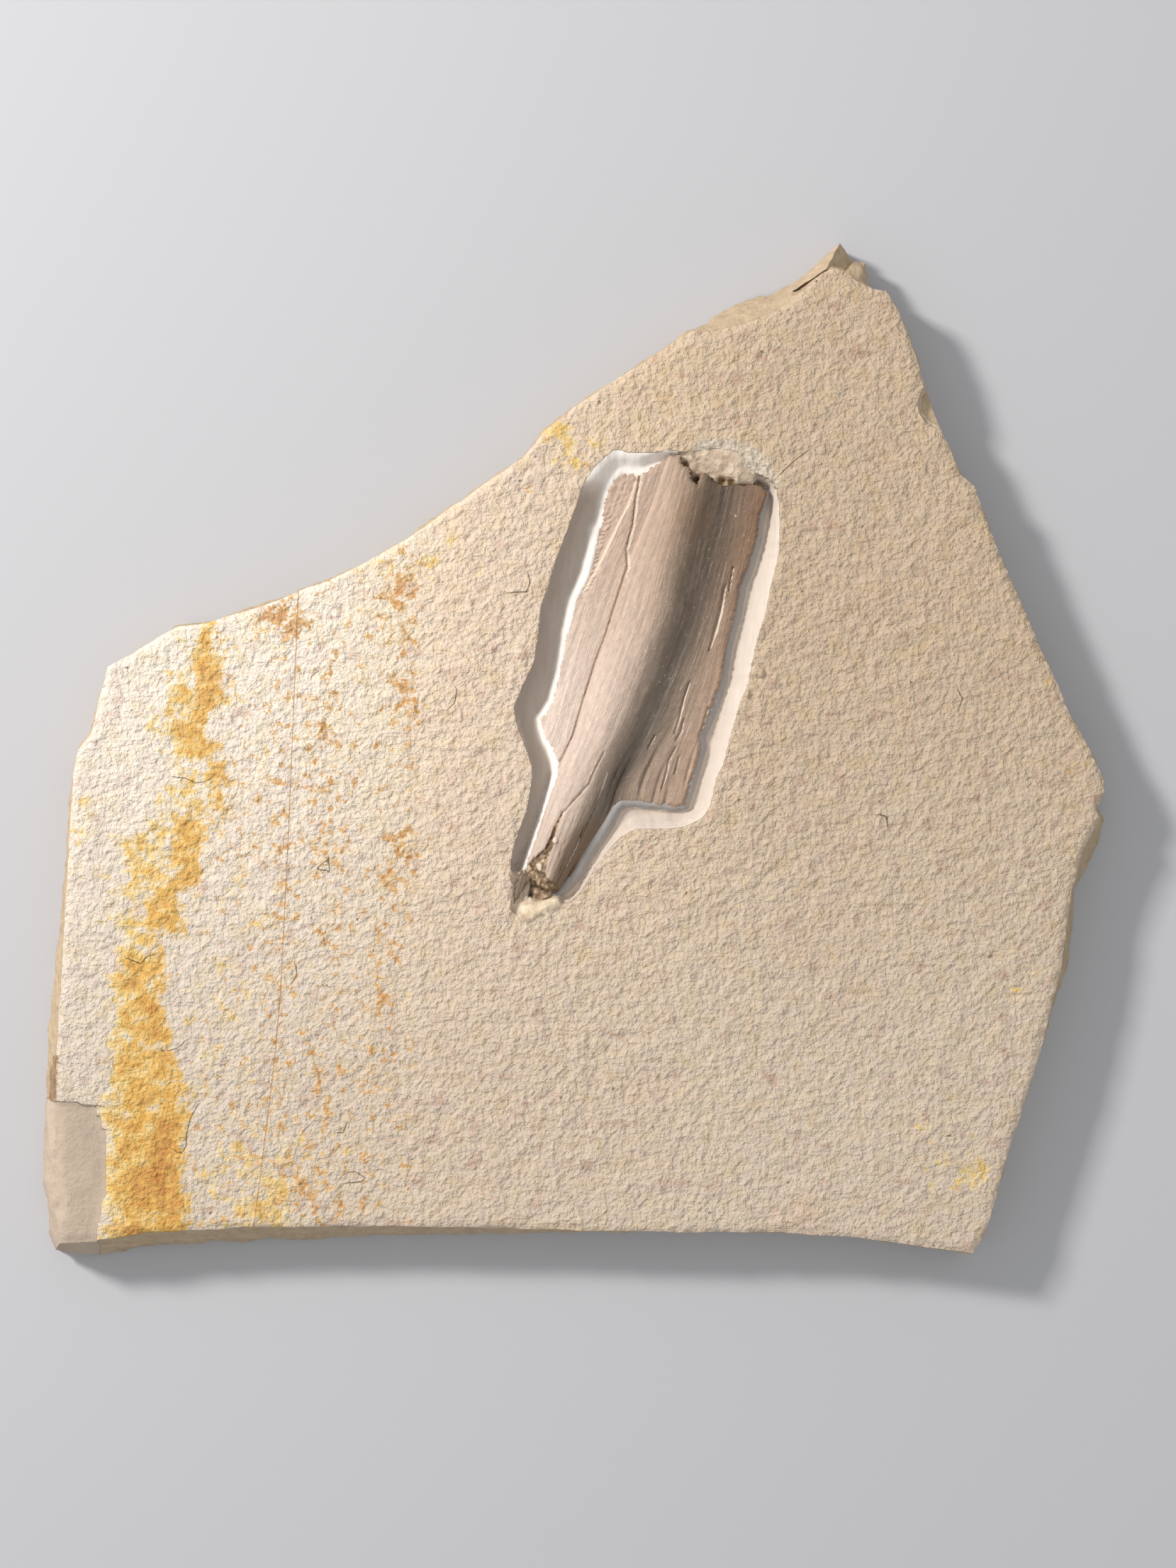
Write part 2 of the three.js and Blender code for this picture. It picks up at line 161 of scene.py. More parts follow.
# The face's outline, anticlockwise from the lower left corner: x, y, and how far the broken side
# spreads outwards by the time it reaches the back.
SLAB_OUTLINE = (
    # lower edge
    (-145, -139, 6), (-133, -138.2, 6), (-122, -136.4, 6), (-90, -134.8, 6),
    (-52, -134.4, 5), (-12, -135.4, 3), (28, -136.2, 1), (58, -136.4, 1), (78, -137.6, 1),
    (98, -140.4, 1), (112.6, -142.2, 1),
    # right edge, up to the bulge
    (116.4, -135.8, 1), (119.2, -125.8, 1), (124, -108.8, 1), (127.8, -97.4, 1),
    (131.6, -85.2, 1), (134.6, -72.2, 2.5), (137.4, -62.2, 4), (139.2, -48.6, 3.5),
    (140.2, -39.8, 3), (143.4, -29.4, 5), (146, -23.8, 5), (148.4, -19.8, 3.5),
    (147.4, -17, 2), (149.6, -12, 1), (149.4, -8.8, 1),
    # right edge, up to the peak
    (148.4, -6.6, 1), (144.8, 1.2, 1), (139.6, 10.6, 1), (135, 21.2, 1), (130, 32.6, 1),
    (125.4, 42.6, 1), (121, 53.2, 1), (115.4, 67, 1), (112.8, 74.4, 1), (109, 77.8, 1),
    (106.8, 83, 1), (103.4, 90.6, 1), (99.2, 101.4, 1), (96.6, 111, 1), (94, 117.8, 1),
    (91.8, 123.2, 1), (88, 129.4, 1), (84.2, 130, 1), (79.4, 132.4, 2), (75.6, 135.4, 3),
    (73, 135.8, 3.5),
    # slanting facet below the peak
    (70.2, 134.4, 4), (65.8, 130.2, 5), (58.6, 124.4, 7.5), (48.4, 120, 8.5), (39.6, 117.8, 6),
    (33, 118, 2),
    # long upper left edge
    (21.2, 110.2, 1), (11.2, 104.2, 1), (-0.2, 96.4, 1), (-8.6, 89.8, 1), (-14, 82.8, 1),
    (-24, 75.8, 1), (-35.4, 67.8, 1), (-47.4, 59.2, 1), (-59, 52.6, 1), (-69.8, 47.6, 1),
    (-79.2, 43.8, 1), (-92.8, 38.8, 1), (-105, 35.4, 1), (-112.2, 34.4, 1),
    (-117.6, 31.6, 1), (-124.6, 27, 1), (-131.8, 23.2, 1),
    # left edge
    (-134.4, 12, 2), (-136.6, 4, 2), (-140, -0.2, 2), (-141.4, -7.2, 2), (-142, -17, 2.5),
    (-143.2, -39.2, 3.5), (-144.2, -56.4, 4), (-145.4, -74, 5), (-146.4, -94, 5),
    (-146.2, -108, 6), (-146, -124, 6.6), (-145.6, -133, 5),
)
# Two angular blocks that stand out of the broken side at the slab's peak: the corners of each top
# along the slab, and the corners that stand out.
PEAK_BLOCKS = (
    (((62, 130, 14.5), (71.2, 135.6, 16.6), (78, 133.4, 11)),
     ((66.8, 136.6, 6), (75.7, 144.4, 9.5), (79.4, 140, 5.5))),
    (((75.6, 134.4, 15.8), (79.8, 131.7, 16.4), (84, 129, 17)),
     ((80, 139.2, 9.5), (83, 138.8, 8.5), (84.3, 131.4, 7))),
)
# How much of the spread the side has at each height.
SIDE_SPREAD = ((-1, 1), (4.5, 0.9), (9.5, 0.62), (14, 0.3), (17.2, 0), (21, 0))
SIDE_STEP = 1.25

# The pit's rim, anticlockwise from the upper left: x, y, and the width of its sloping wall.
PIT_RIM = (
    # left side, down to the rib's end
    (11.4, 84.6, 5.2), (6.4, 80.4, 5), (3, 75.6, 5.4), (1.2, 70, 6), (-1.4, 62.8, 6),
    (-4.2, 55.6, 6.6), (-7, 47, 7), (-9.4, 39.8, 7), (-9.8, 33.8, 6.8), (-11.2, 24.6, 6.6),
    (-14.2, 18.4, 7), (-17, 11.8, 7), (-16, 6.8, 6.4), (-13.4, 0.2, 5.8), (-11.6, -5.6, 5.6),
    (-12.2, -12, 5), (-13.6, -18.4, 4.4), (-15.4, -22.6, 4.2), (-17.2, -28.2, 3.4),
    (-18, -33.2, 1.8), (-17.2, -34.6, 1),
    # round the rib's broken end
    (-15.4, -36.4, 0.6), (-17.2, -41.6, 0.5), (-18.2, -45, 0.5), (-15, -46.4, 0.8), (-9, -44.8, 1),
    (-4.4, -43.6, 0.8),
    # right side of the rib
    (-1.2, -43, 0.5), (2, -40, 0.6), (5.4, -34.2, 0.8), (9.8, -28.1, 1.2),
    (13.2, -24.6, 2),
    # under the right flange and up its side
    (17.2, -22.4, 3.6), (25.4, -22.4, 4.6), (30.6, -22, 4), (36, -19.6, 3.6),
    (38.4, -16, 3.8), (40.2, -7.8, 3.8), (42.2, -4, 4.4), (44, 3.6, 4.6), (47, 13.8, 5),
    (49, 18, 5.6), (49.8, 22.6, 5.4), (51.8, 31.8, 5.2), (54, 38.4, 6), (55.4, 46, 5.4),
    (57.6, 54.2, 5), (58, 63.8, 3), (57.6, 71.4, 1.8), (56.4, 75.4, 1.8),
    # broken stone over the top of the bone
    (51.8, 77.6, 1.6), (46.6, 80.4, 2), (38.6, 81.6, 1.6), (32, 83.6, 1), (27, 84.4, 0.8),
    (22, 83.6, 2.6), (16, 83.6, 4.2),
)
PIT_FLOOR = 11.0

# The bone's margin: x, y, and the width of the bank of stone left standing against it there.
FLANGE_EDGE = (
    (17.2, 77.8, 1.8), (14.6, 78.8, 1.8), (12.6, 78.6, 2), (10.6, 76.2, 2.4), (8.8, 70.6, 2.8),
    (7.6, 64.4, 2.9), (6.2, 62.4, 2.9), (5, 56, 2.8), (3.4, 49.6, 2.8), (1.8, 46, 2.7),
    (-0.2, 42.4, 2.6), (-1.4, 35.8, 2.6), (-2.4, 32.2, 2.5), (-3.4, 25.6, 2.4), (-4.6, 19.6, 2.4),
    (-6, 13.4, 2.3), (-7.8, 10.8, 2.2), (-9.6, 8.8, 2.2), (-9, 6.2, 2.6), (-7.8, 3.2, 3),
    (-6, 0.2, 3), (-5, -3, 2.8),
)
PLATE_EDGE = (
    # left side of the rib
    (-4.8, -7, 2.4), (-8.2, -16.4, 1.9), (-11.4, -25.8, 1.6), (-14.8, -34.8, 1),
    # broken end
    (-13, -36.2, 0.6), (-12.2, -38.4, 0.6), (-12.9, -41.2, 0.6), (-9.8, -42.9, 0.6),
    (-6.8, -42.4, 0.6), (-4.6, -41.8, 1),
    # right side of the rib
    (-2.4, -38.8, 2.6), (0.8, -34.8, 3.3), (3.2, -29.8, 3.5), (6.6, -24.8, 3.5),
    (9.4, -21, 3), (11.8, -16.8, 2.4),
    # lower edge of the right flange
    (13.6, -15.4, 2), (16.8, -15.2, 1.8), (22.4, -15.8, 1.8), (28.6, -16.4, 1.8),
    (31.2, -16, 2),
    # right edge of the right flange
    (33.2, -9, 2.4), (35.8, 0.2, 2.6), (35.6, 3.6, 2.6), (39.2, 12.8, 3), (41.6, 19, 2.6),
    (43.2, 29.2, 2.4), (45.6, 38.4, 2.8), (47, 46.4, 2.8), (49.4, 52.2, 2.6),
    (51.6, 60, 2.6), (52.4, 65.8, 2.6), (54.6, 72.6, 1.6),
    # broken top
    (52.8, 74.5, 0.6), (49.7, 75.6, 0.6), (46.4, 75.5, 0.6), (42.6, 74.9, 0.6), (40, 75.4, 0.6),
    (38.7, 76.7, 0.6), (36.5, 78, 0.6), (35.6, 77.1, 0.6), (34.9, 74.5, 0.6), (33.2, 75.8, 0.6),
    (32.5, 79.3, 0.6), (29.9, 80.6, 0.6), (29.7, 82.8, 0.6), (28.6, 83.1, 0.6), (24.6, 81.5, 0.8),
    (19.4, 77.8, 1.4),
)
BANK_TOP = 13.2
LEFT_RISE = 0.9  # how much higher the pit's floor is left of the bone

# The smooth spall at the lower left corner, x and y, and the chipped bevel on the edge below it,
# x, y and the bevel's width.
SPALL_EDGE = (
    (-160, -99), (-160, -145), (-135.4, -145), (-134, -132), (-132.2, -124),
    (-132.4, -108.2), (-135.4, -100.6), (-146, -99.4),
)
SPALL_DEPTH = 1.0
BEVEL_LINE = (
    (-148.4, -104, 0), (-147.6, -112, 0.6), (-145.6, -115, 2.4), (-145.4, -119, 2.4),
    (-143.2, -127, 4.6), (-143.4, -131, 4.4), (-145, -135, 2.6), (-145, -140, 2.6),
)
# Small oval fossils that stand out of the crust at the pit's right rim: x, y, half their sizes.
PEBBLES = ((52, 21.8, 2.1, 1.8), (48.9, 16, 1.2, 1.5))

# Stone broken, not scraped, where the bone runs out of the pit at its top and at its foot.
TOP_BREAK = (
    (29.4, 83.4), (29, 79.8), (32, 77.8), (32.6, 74.6), (35, 73), (37, 75.6),
    (40, 73.6), (44, 73.6), (50, 74), (51.6, 76.8), (48.8, 79.8),
    (46.6, 83.4), (43.6, 84.6), (39.4, 84.8), (35.4, 84.4),
)
TOP_CRUMBLE = (
    (34, 84), (46, 82.6), (50, 77.4), (54.4, 75.4), (58.4, 73.6), (58.8, 75.6),
    (55.4, 80.6), (52.6, 84.2), (49, 86.6), (44.6, 87), (38, 87.8), (33.6, 86),
)
# Dark pockets in it, along the end of the bone: x, y and radius. Their darkness is partly painted
# shade, from the patches below.
TOP_POCKETS = ((31.2, 80.8, 1.1), (34.6, 76.2, 1.3), (42, 76, 1.4), (44.6, 75.9, 1))
FOOT_BREAK = (
    (-18.2, -34.8), (-18.1, -37.2), (-16.8, -38.6), (-17.5, -42.2), (-18, -45.2),
    (-16.6, -46.6), (-15.2, -48.8), (-11.4, -48), (-7.4, -46.2), (-4, -44.8),
    (-2.8, -43.9), (-4.4, -41.8), (-6.6, -41.4), (-9.8, -41.8), (-11.8, -40.6),
    (-11.8, -38.4), (-12.8, -35.6), (-15.4, -34.6),
)


def traced(rows, step, soften=0, closed=True):
    """Points about every step along rows of x, y, and a value or none. Softening rounds the
    corners off."""
    corners = [Vector((*row, 0)[:3]) for row in rows]
    if closed:
        corners.append(corners[0])
    points = []
    for start, end in zip(corners, corners[1:]):
        pieces = max(1, round((end.xy - start.xy).length / step))
        points += [start.lerp(end, piece / pieces) for piece in range(pieces)]
    if not closed:
        points.append(corners[-1])
    for _ in range(soften):
        around = zip(points[-1:] + points[:-1], points, points[1:] + points[:1])
        points = [(before + here * 2 + after) / 4 for before, here, after in around]
    return points


def headings(points, closed=True):
    """The direction of travel along a line at each of its points."""
    last = len(points) - 1
    found = []
    for index in range(len(points)):
        before = points[index - 1] if closed or index else points[0]
        after = points[(index + 1) % len(points)] if closed or index < last else points[last]
        found.append((after.xy - before.xy).normalized())
    return found


def measured_from(*lines, soften=0, closed=True):
    """A function of x and y: how far left of the nearest line a spot is, how far past the line's
    ends, and the line's third value there. Left of an anticlockwise outline is inside it."""
    step = 0.5
    points = []
    directions = []
    for rows in lines:
        line = traced(rows, step, soften, closed)
        points += line
        directions += headings(line, closed)
    tree = kdtree.KDTree(len(points))
    for index, point in enumerate(points):
        tree.insert((point.x, point.y, 0), index)
    tree.balance()

    def measure(x, y):
        index = tree.find((x, y, 0))[1]
        point, ahead = points[index], directions[index]
        right, up = x - point.x, y - point.y
        left = ahead.x * up - ahead.y * right
        slip = max(0, abs(ahead.x * right + ahead.y * up) - step / 2)
        return math.copysign(math.hypot(left, slip), left), slip, point.z

    return measure


def eased(value, low, high):
    """0 below low, 1 above high, and a smooth rise between."""
    part = min(1, max(0, (value - low) / (high - low)))
    return part * part * (3 - 2 * part)


def hackly(x, y, size, steep):
    """Broken stone: a relief of flat facets of about that size, each tilted its own way."""
    spot = Vector((x, y, 0)) / size
    middle = noise.voronoi(spot)[1][0]
    tilt = noise.noise_vector(middle * 1.7)
    return size * steep * ((spot - middle).dot(tilt) + 0.5 * tilt.z)


inside_slab = measured_from(SLAB_OUTLINE)
inside_pit = measured_from(PIT_RIM, soften=6)
inside_bone = measured_from(FLANGE_EDGE + PLATE_EDGE)
inside_spall = measured_from(SPALL_EDGE, soften=8)
along_bevel = measured_from(BEVEL_LINE, closed=False)
inside_top_break = measured_from(TOP_BREAK)
inside_top_crumble = measured_from(TOP_CRUMBLE)
inside_foot_break = measured_from(FOOT_BREAK)


def crust_height(x, y):
    """The natural face: low swells, lumps, and the crisp dimples that cover it."""
    spot = Vector((x, y, 0))
    swells = 0.35 * noise.noise(spot / 46) + 0.3 * noise.noise(spot / 9)
    dimples = 0.4 * noise.fractal(spot / 4.2, 0.5, 2.1, 3)
    pebbles = 0
    for right, up, half_wide, half_tall in PEBBLES:
        out = math.hypot((x - right) / half_wide, (y - up) / half_tall)
        pebbles += 0.75 * (1 - eased(out, 0.5, 1)) - 0.5 * math.exp(-((out - 1.2) / 0.22) ** 2)
    return SLAB_THICK + swells + dimples + pebbles


def on_right(x, y):
    """1 on the bone's right side, 0 on its left."""
    return eased(x - 7 - 0.36 * y, 0, 3)


def pit_height(x, y, depth, wall):
    """The scraped pit: a wall that slopes to the floor, and a bank that climbs to the bone. It is
    shallower over the top of the bone."""
    into_bone, _, bank = inside_bone(x, y)
    top = eased(y, 68, 79) * (1 - on_right(x, y))
    low = eased(-y, -6, 10) * (1 - on_right(x, y))
    base = PIT_FLOOR + LEFT_RISE * (1 - on_right(x, y)) * (1 - top) + 3.8 * top
    floor = base + 2.6 * top * eased(-into_bone, 0.6, 6)
    crossed = min(1, max(0, depth / wall))
    slope = SLAB_THICK - (SLAB_THICK - floor) * (1 - (1 - crossed) ** 1.4)
    slope += 0.12 * noise.noise((x / 3, y / 9, 2))
    rise = BANK_TOP + 1.9 * top + 1.7 * low
    if into_bone < 0:
        rise += (base - rise) * eased(-into_bone, 0.05 * bank, 1.1 * bank)
    else:
        rise += (PIT_FLOOR - rise) * eased(into_bone, 0.8, 2.2)
    blend = 0.8
    gap = max(0, blend - abs(slope - rise)) / blend
    return max(slope, rise) + gap * gap * blend / 4


def top_break_height(x, y):
    """The broken face over the top of the bone: facets that dip to the bone's end and lean to
    the left, with a ragged gap along the end of the bone."""
    drop = eased(84.8 - y - 0.12 * (x - 36), 0, 9)
    height = SLAB_THICK - 0.2 - 2.2 * drop + 0.09 * (x - 42)
    height += hackly(x, y, 3.4, 0.42) + 0.34 * noise.noise((x / 0.9, y / 2.4, 3))
    pocket = sum(
        math.exp(-((x - right) ** 2 + 2 * (y - up) ** 2) / radius ** 2)
        for right, up, radius in TOP_POCKETS
    )
    under = eased(inside_bone(x, y)[0], -0.2, 0.8)
    return min(height, SLAB_THICK + 0.3) - 2.6 * min(1, pocket) - 3 * under


def foot_break_height(x, y):
    """The rough stone round the rib's end: a ridge across it that falls away to the crust, and
    on its other side a slope that dips to the bone."""
    above = (y + 48.7) - 0.58 * (x + 14.6)
    height = 18.7 - 2.6 * eased(above, 0, 6) * eased(x, -19, -15.5) - 0.9 * eased(-above, 0, 2.6)
    height += hackly(x, y, 2.1, 0.38) + 0.2 * noise.noise((x / 0.9, y / 0.9, 7))
    return min(height, 18.9) - 4.4 * eased(inside_bone(x, y)[0], -0.5, 0.6)


def face_height(x, y):
    """The height of the slab's upper surface anywhere."""
    height = crust_height(x, y)
    spot = Vector((x, y, 0))
    ragged = 0.35 * noise.noise(spot / 1.7)
    spall = eased(inside_spall(x, y)[0] + ragged, -0.2, 0.5)
    if spall:
        smooth = SLAB_THICK - SPALL_DEPTH + 0.25 * noise.noise(spot / 12)
        height += (smooth - height) * spall
        aside, _, bevel = along_bevel(x, y)
        bevelled = 0.5 * noise.noise(spot / 4) - aside
        if bevelled > 0 and bevel > 0:
            height -= 0.7 * bevelled + 0.9 * eased(bevelled, 0, 0.6) * hackly(x, y, 5.2, 0.5)
    crumble = eased(inside_top_crumble(x, y)[0] + 2 * ragged, -0.5, 1.2)
    if crumble:
        rough = SLAB_THICK - 0.3 + hackly(x, y, 1.6, 0.6) + 0.8 * noise.noise(spot / 1.3)
        height += (rough - height) * 0.85 * crumble
    depth, _, wall = inside_pit(x, y)
    depth += ragged
    if depth > -1:
        height = min(height, pit_height(x, y, depth, wall) + 3 * max(0, -depth))
    top = eased(inside_top_break(x, y)[0], -0.6, 0.3)
    if top:
        height += (top_break_height(x, y) - height) * top
    foot = eased(inside_foot_break(x, y)[0] + ragged, -0.8, 0.6)
    if foot:
        height += (foot_break_height(x, y) - height) * foot
    edge = 1 - eased(inside_slab(x, y)[0] + ragged, 0, 1.3)
    return height - 0.9 * edge * edge


def stations(low, *spans):
    """Places along an axis from a low end, through spans given as where each ends and its step."""
    places = [low]
    for high, step in spans:
        while places[-1] < high:
            places.append(places[-1] + step)
    return places


def raised_sheet(columns, rows, height, lean=0, upright=0):
    """A grid through the given columns and rows, raised to height(x, y). A lean slides each row
    sideways by that much for each millimetre above the upright row."""
    bm = bmesh.new()
    across, along = len(columns) - 1, len(rows) - 1
    bmesh.ops.create_grid(bm, x_segments=across, y_segments=along, size=0.5)
    for vert in bm.verts:
        y = rows[round((vert.co.y + 0.5) * along)]
        x = columns[round((vert.co.x + 0.5) * across)] + lean * (y - upright)
        vert.co = (x, y, height(x, y))
    return bm


def close_down(bm, bottom):
    """Closes a sheet into a block: its border goes straight down to the given height."""
    border = [edge for edge in bm.edges if edge.is_boundary]
    made = bmesh.ops.extrude_edge_only(bm, edges=border)["geom"]
    for vert in made:
        if isinstance(vert, bmesh.types.BMVert):
            vert.co.z = bottom
    rim = [edge for edge in made if isinstance(edge, bmesh.types.BMEdge)]
    bmesh.ops.holes_fill(bm, edges=rim)
    bmesh.ops.recalc_face_normals(bm, faces=bm.faces)


def spread_at(height):
    """How much of its spread the slab's side has at a height."""
    for (low, start), (high, end) in zip(SIDE_SPREAD, SIDE_SPREAD[1:]):
        if height <= high:
            return start + (end - start) * (height - low) / (high - low)
    return 0


def broken_sides():
    """The slab's outline as a solid with rough broken sides, taller than the slab."""
    points = traced(SLAB_OUTLINE, SIDE_STEP)
    directions = headings(points)
    count = len(points)
    levels = round((SIDE_SPREAD[-1][0] - SIDE_SPREAD[0][0]) / SIDE_STEP)
    bm = bmesh.new()
    bmesh.ops.create_grid(bm, x_segments=count, y_segments=levels, size=0.5)
    for vert in bm.verts:
        index = round((vert.co.x + 0.5) * count) % count
        part = vert.co.y + 0.5
        height = SIDE_SPREAD[0][0] + part * (SIDE_SPREAD[-1][0] - SIDE_SPREAD[0][0])
        point, ahead = points[index], directions[index]
        spot = Vector((point.x / 9, point.y / 9, height / 4))
        rough = noise.noise(spot) + 0.55 * noise.noise(spot * 3) + 0.3 * noise.noise(spot * 8)
        outwards = Vector((ahead.y, -ahead.x))
        spread = outwards * point.z * spread_at(height)
        spread += outwards * rough * (0.35 + 0.65 * eased(-height, -17, -13))
        vert.co = (point.x + spread.x, point.y + spread.y, height)
    bmesh.ops.remove_doubles(bm, verts=bm.verts, dist=0.001)
    bmesh.ops.holes_fill(bm, edges=[edge for edge in bm.edges if edge.is_boundary])
    bmesh.ops.recalc_face_normals(bm, faces=bm.faces)
    return bm


def carve(target, steps):
    """Cuts or keeps a piece by other solids, given as (operation, solid), and uses them up."""
    for operation, solid in steps:
        cut = target.modifiers.new(operation.lower(), "BOOLEAN")
        cut.operation = operation
        cut.object = solid
        cut.solver = "MANIFOLD"
    shaped = bpy.data.meshes.new_from_object(
        target.evaluated_get(bpy.context.evaluated_depsgraph_get())
    )
    target.modifiers.clear()
    shaped.materials.clear()
    target.data = shaped
    for _, solid in steps:
        bpy.data.objects.remove(solid)


def scoop(place, sizes, turn, name):
    """A shell-shaped cutter with ripples round its middle."""
    bm = bmesh.new()
    bmesh.ops.create_icosphere(bm, subdivisions=5, radius=1)
    for vert in bm.verts:
        vert.co *= 1 + 0.02 * math.sin(14 * vert.co.z) + 0.03 * noise.noise(vert.co * 3)
    shape = Matrix.Rotation(turn, 4, "Z") @ Matrix.Diagonal((*sizes, 1))
    bmesh.ops.transform(bm, matrix=Matrix.Translation(place) @ shape, verts=bm.verts)
    return object_from(bm, name)


def angular_block(inner, outer, name):
    """A block of stone with nearly flat faces, straight down from an inner and an outer row of
    corners."""
    bm = bmesh.new()
    bmesh.ops.create_grid(bm, x_segments=2, y_segments=1, size=0.5)
    for vert in bm.verts:
        row = outer if vert.co.y > 0 else inner
        vert.co = row[round((vert.co.x + 0.5) * 2)]
    close_down(bm, BLOCK_FOOT)
    bmesh.ops.subdivide_edges(bm, edges=bm.edges[:], cuts=7, use_grid_fill=True)
    for vert in bm.verts:
        vert.co += 0.3 * noise.noise_vector(vert.co / 2.4)
    return object_from(bm, name)


def back_height(x, y):
    """The back: a split bedding plane, with shallow hollows where flakes have gone."""
    spot = Vector((x, y, 40))
    return max(0, 0.7 * noise.noise(spot / 21) + 0.3 * noise.noise(spot / 6))


def shade_stone(mesh, angle):
    """Smooth shading, broken at edges sharper than the angle."""
    mesh.shade_smooth()
    mesh.set_sharp_from_angle(angle=math.radians(angle))


STONE_SHARP = 45  # edges sharper than this stay crisp, degrees
CHIP_PLACE = (103.4, 97.2, 19)
CHIP_SIZES = (6.6, 7.2, 4.4)
CHIP_TURN = 0.35
COARSE, MEDIUM, FINE = 1.3, 0.72, 0.52  # the steps of the face's sheet, mm
BACK_STEP = 4
FACE_BLOCK_FOOT = -8  # both blocks reach below the slab's back
BACK_BLOCK_FOOT = -14
BLOCK_FOOT = -2
face_columns = stations(-155, (-22, COARSE), (17, FINE), (60, MEDIUM), (153, COARSE))
face_rows = stations(-147, (-51, COARSE), (-20, FINE), (90, MEDIUM), (147, COARSE))
face_block = raised_sheet(face_columns, face_rows, face_height)
close_down(face_block, FACE_BLOCK_FOOT)
slab = object_from(face_block, "slab_stone")
back_block = raised_sheet(
    stations(-165, (163, BACK_STEP)), stations(-157, (157, BACK_STEP)), back_height
)
close_down(back_block, BACK_BLOCK_FOOT)
sides = object_from(broken_sides(), "sides")
carve(sides, [
    ("UNION", angular_block(inner, outer, f"peak_block_{number}"))
    for number, (inner, outer) in enumerate(PEAK_BLOCKS)
])
carve(slab, [
    ("INTERSECT", sides),
    ("DIFFERENCE", object_from(back_block, "back")),
    ("DIFFERENCE", scoop(CHIP_PLACE, CHIP_SIZES, CHIP_TURN, "chip")),
])
shade_stone(slab.data, STONE_SHARP)

# The marks on the stone. Iron-rich water has left a yellow wash down the left side, rust specks
# and a mineral vein as thin as a thread; hairline cracks and small fossils break the crust.

# The yellow wash's middle line: x, y, and half its width.
WASH_LINE = (
    (-103, 37, 4), (-106, 17.4, 9), (-110, 5.4, 8), (-103, -4.6, 9.6), (-105, -12.6, 10.6),
    (-110, -22.6, 11.6), (-115, -30.6, 14), (-118, -40.6, 12), (-121.5, -54.6, 9.4),
    (-123, -64.6, 9), (-122.4, -84.6, 10.4), (-121, -98.6, 13), (-120, -118, 12.2),
    (-121, -138, 13),
)
# A thinner haze of it to the right of that line.
HAZE_LINE = ((-100, 0, 8), (-98, -40, 11), (-97, -80, 14), (-96, -110, 17), (-94, -138, 20))
# Patches of yellow wash, of rust specks and of a reddish bloom: x, y, radius, strength.
WASH_PATCHES = (
    (127, -62, 9, 0.5), (97, -106, 8, 0.5), (116, -119, 9, 0.55), (104, -120.6, 6, 0.4),
    (-37, 50, 12, 0.45), (-82, 37, 10, 0.5), (2, 82, 9, 0.5), (-8, 90, 8, 0.5), (-70, 6, 9, 0.4),
    (-52, 50, 8, 0.4), (-88, -126, 12, 0.35), (-70, -114, 10, 0.35), (-142, -18, 8, 0.45),
    (-120, -122, 15, 0.3), (-104, 27, 6, 0.3), (-108, 14, 7, 0.25), (-101, 17, 5, 0.25),
    (-112, 3, 6, 0.3),
)
RUST_PATCHES = (
    (-85, 39, 6, 0.6), (-78, 36, 5, 0.45), (-50, 46, 5, 0.55), (-52, 33, 5, 0.4), (-46, 14, 5, 0.45),
    (-8, 91, 4.5, 0.7), (-1, 88, 4.5, 0.55), (3, 80.6, 4, 0.6), (-13, 74, 3, 0.6), (-66, 28, 4, 0.4),
    (129, 27, 4, 0.5), (134, 17, 4, 0.6), (142, -4, 5, 0.5), (106, 81, 3, 0.5), (121, -54, 9, 0.2),
    (-72, 4, 5, 0.3), (-52, -36, 5, 0.5), (-46, -24, 5, 0.4), (-68, -30, 5, 0.35),
    (-54, -70, 4, 0.5), (-78, -120, 7, 0.35), (-56, -56, 3, 0.4),
)
RUST_LINES = (
    ((-81, 36, 3), (-83, -60, 5), (-89, -137, 7)),
    ((-71, 20, 5), (-69, -60, 7), (-72, -137, 8)),
    ((-48, 46, 5), (-46, -30, 5), (-50, -44, 4), (-55, -84, 4), (-58, -130, 4)),
)
BLOOM_PATCHES = (
    (64, -133, 9, 0.8), (20, -98, 9, 0.5), (52, -6, 12, 0.45), (80, 44, 22, 0.35),
    (-20, -60, 22, 0.3), (70, -50, 26, 0.35), (24, -118, 12, 0.5), (34, 44, 30, 0.25),
)
# A few whitish spots where the crust is bare of colour.
WHITE_PATCHES = ((92, -18, 4, 0.5), (44, -114, 4, 0.5), (88, -22, 3, 0.4), (112, 40, 6, 0.3))
# Where the rubble at the bone's foot is cream.
CREAM_PATCHES = ((-12.6, -45.8, 2.4, 1.1), (-9, -44.4, 2.2, 1.1), (-6.2, -43.2, 1.6, 1))
# Where broken stone is stained brown beside the spall, and painted shade, dark brown, in the
# pockets over the bone.
BROWN_STAIN_AND_SHADE_PATCHES = (
    (31.2, 80.6, 1, 1.4), (34.6, 76, 1.2, 1.4), (41.8, 76, 1.2, 1.4), (44.6, 75.8, 0.9, 1.4),
    (-147.2, -88, 1.8, 0.9), (-147.6, -91.5, 2, 1), (-147.8, -95, 2, 1.1), (-148.2, -98.5, 2, 1.1),
    (-148.4, -102, 1.8, 1),
)
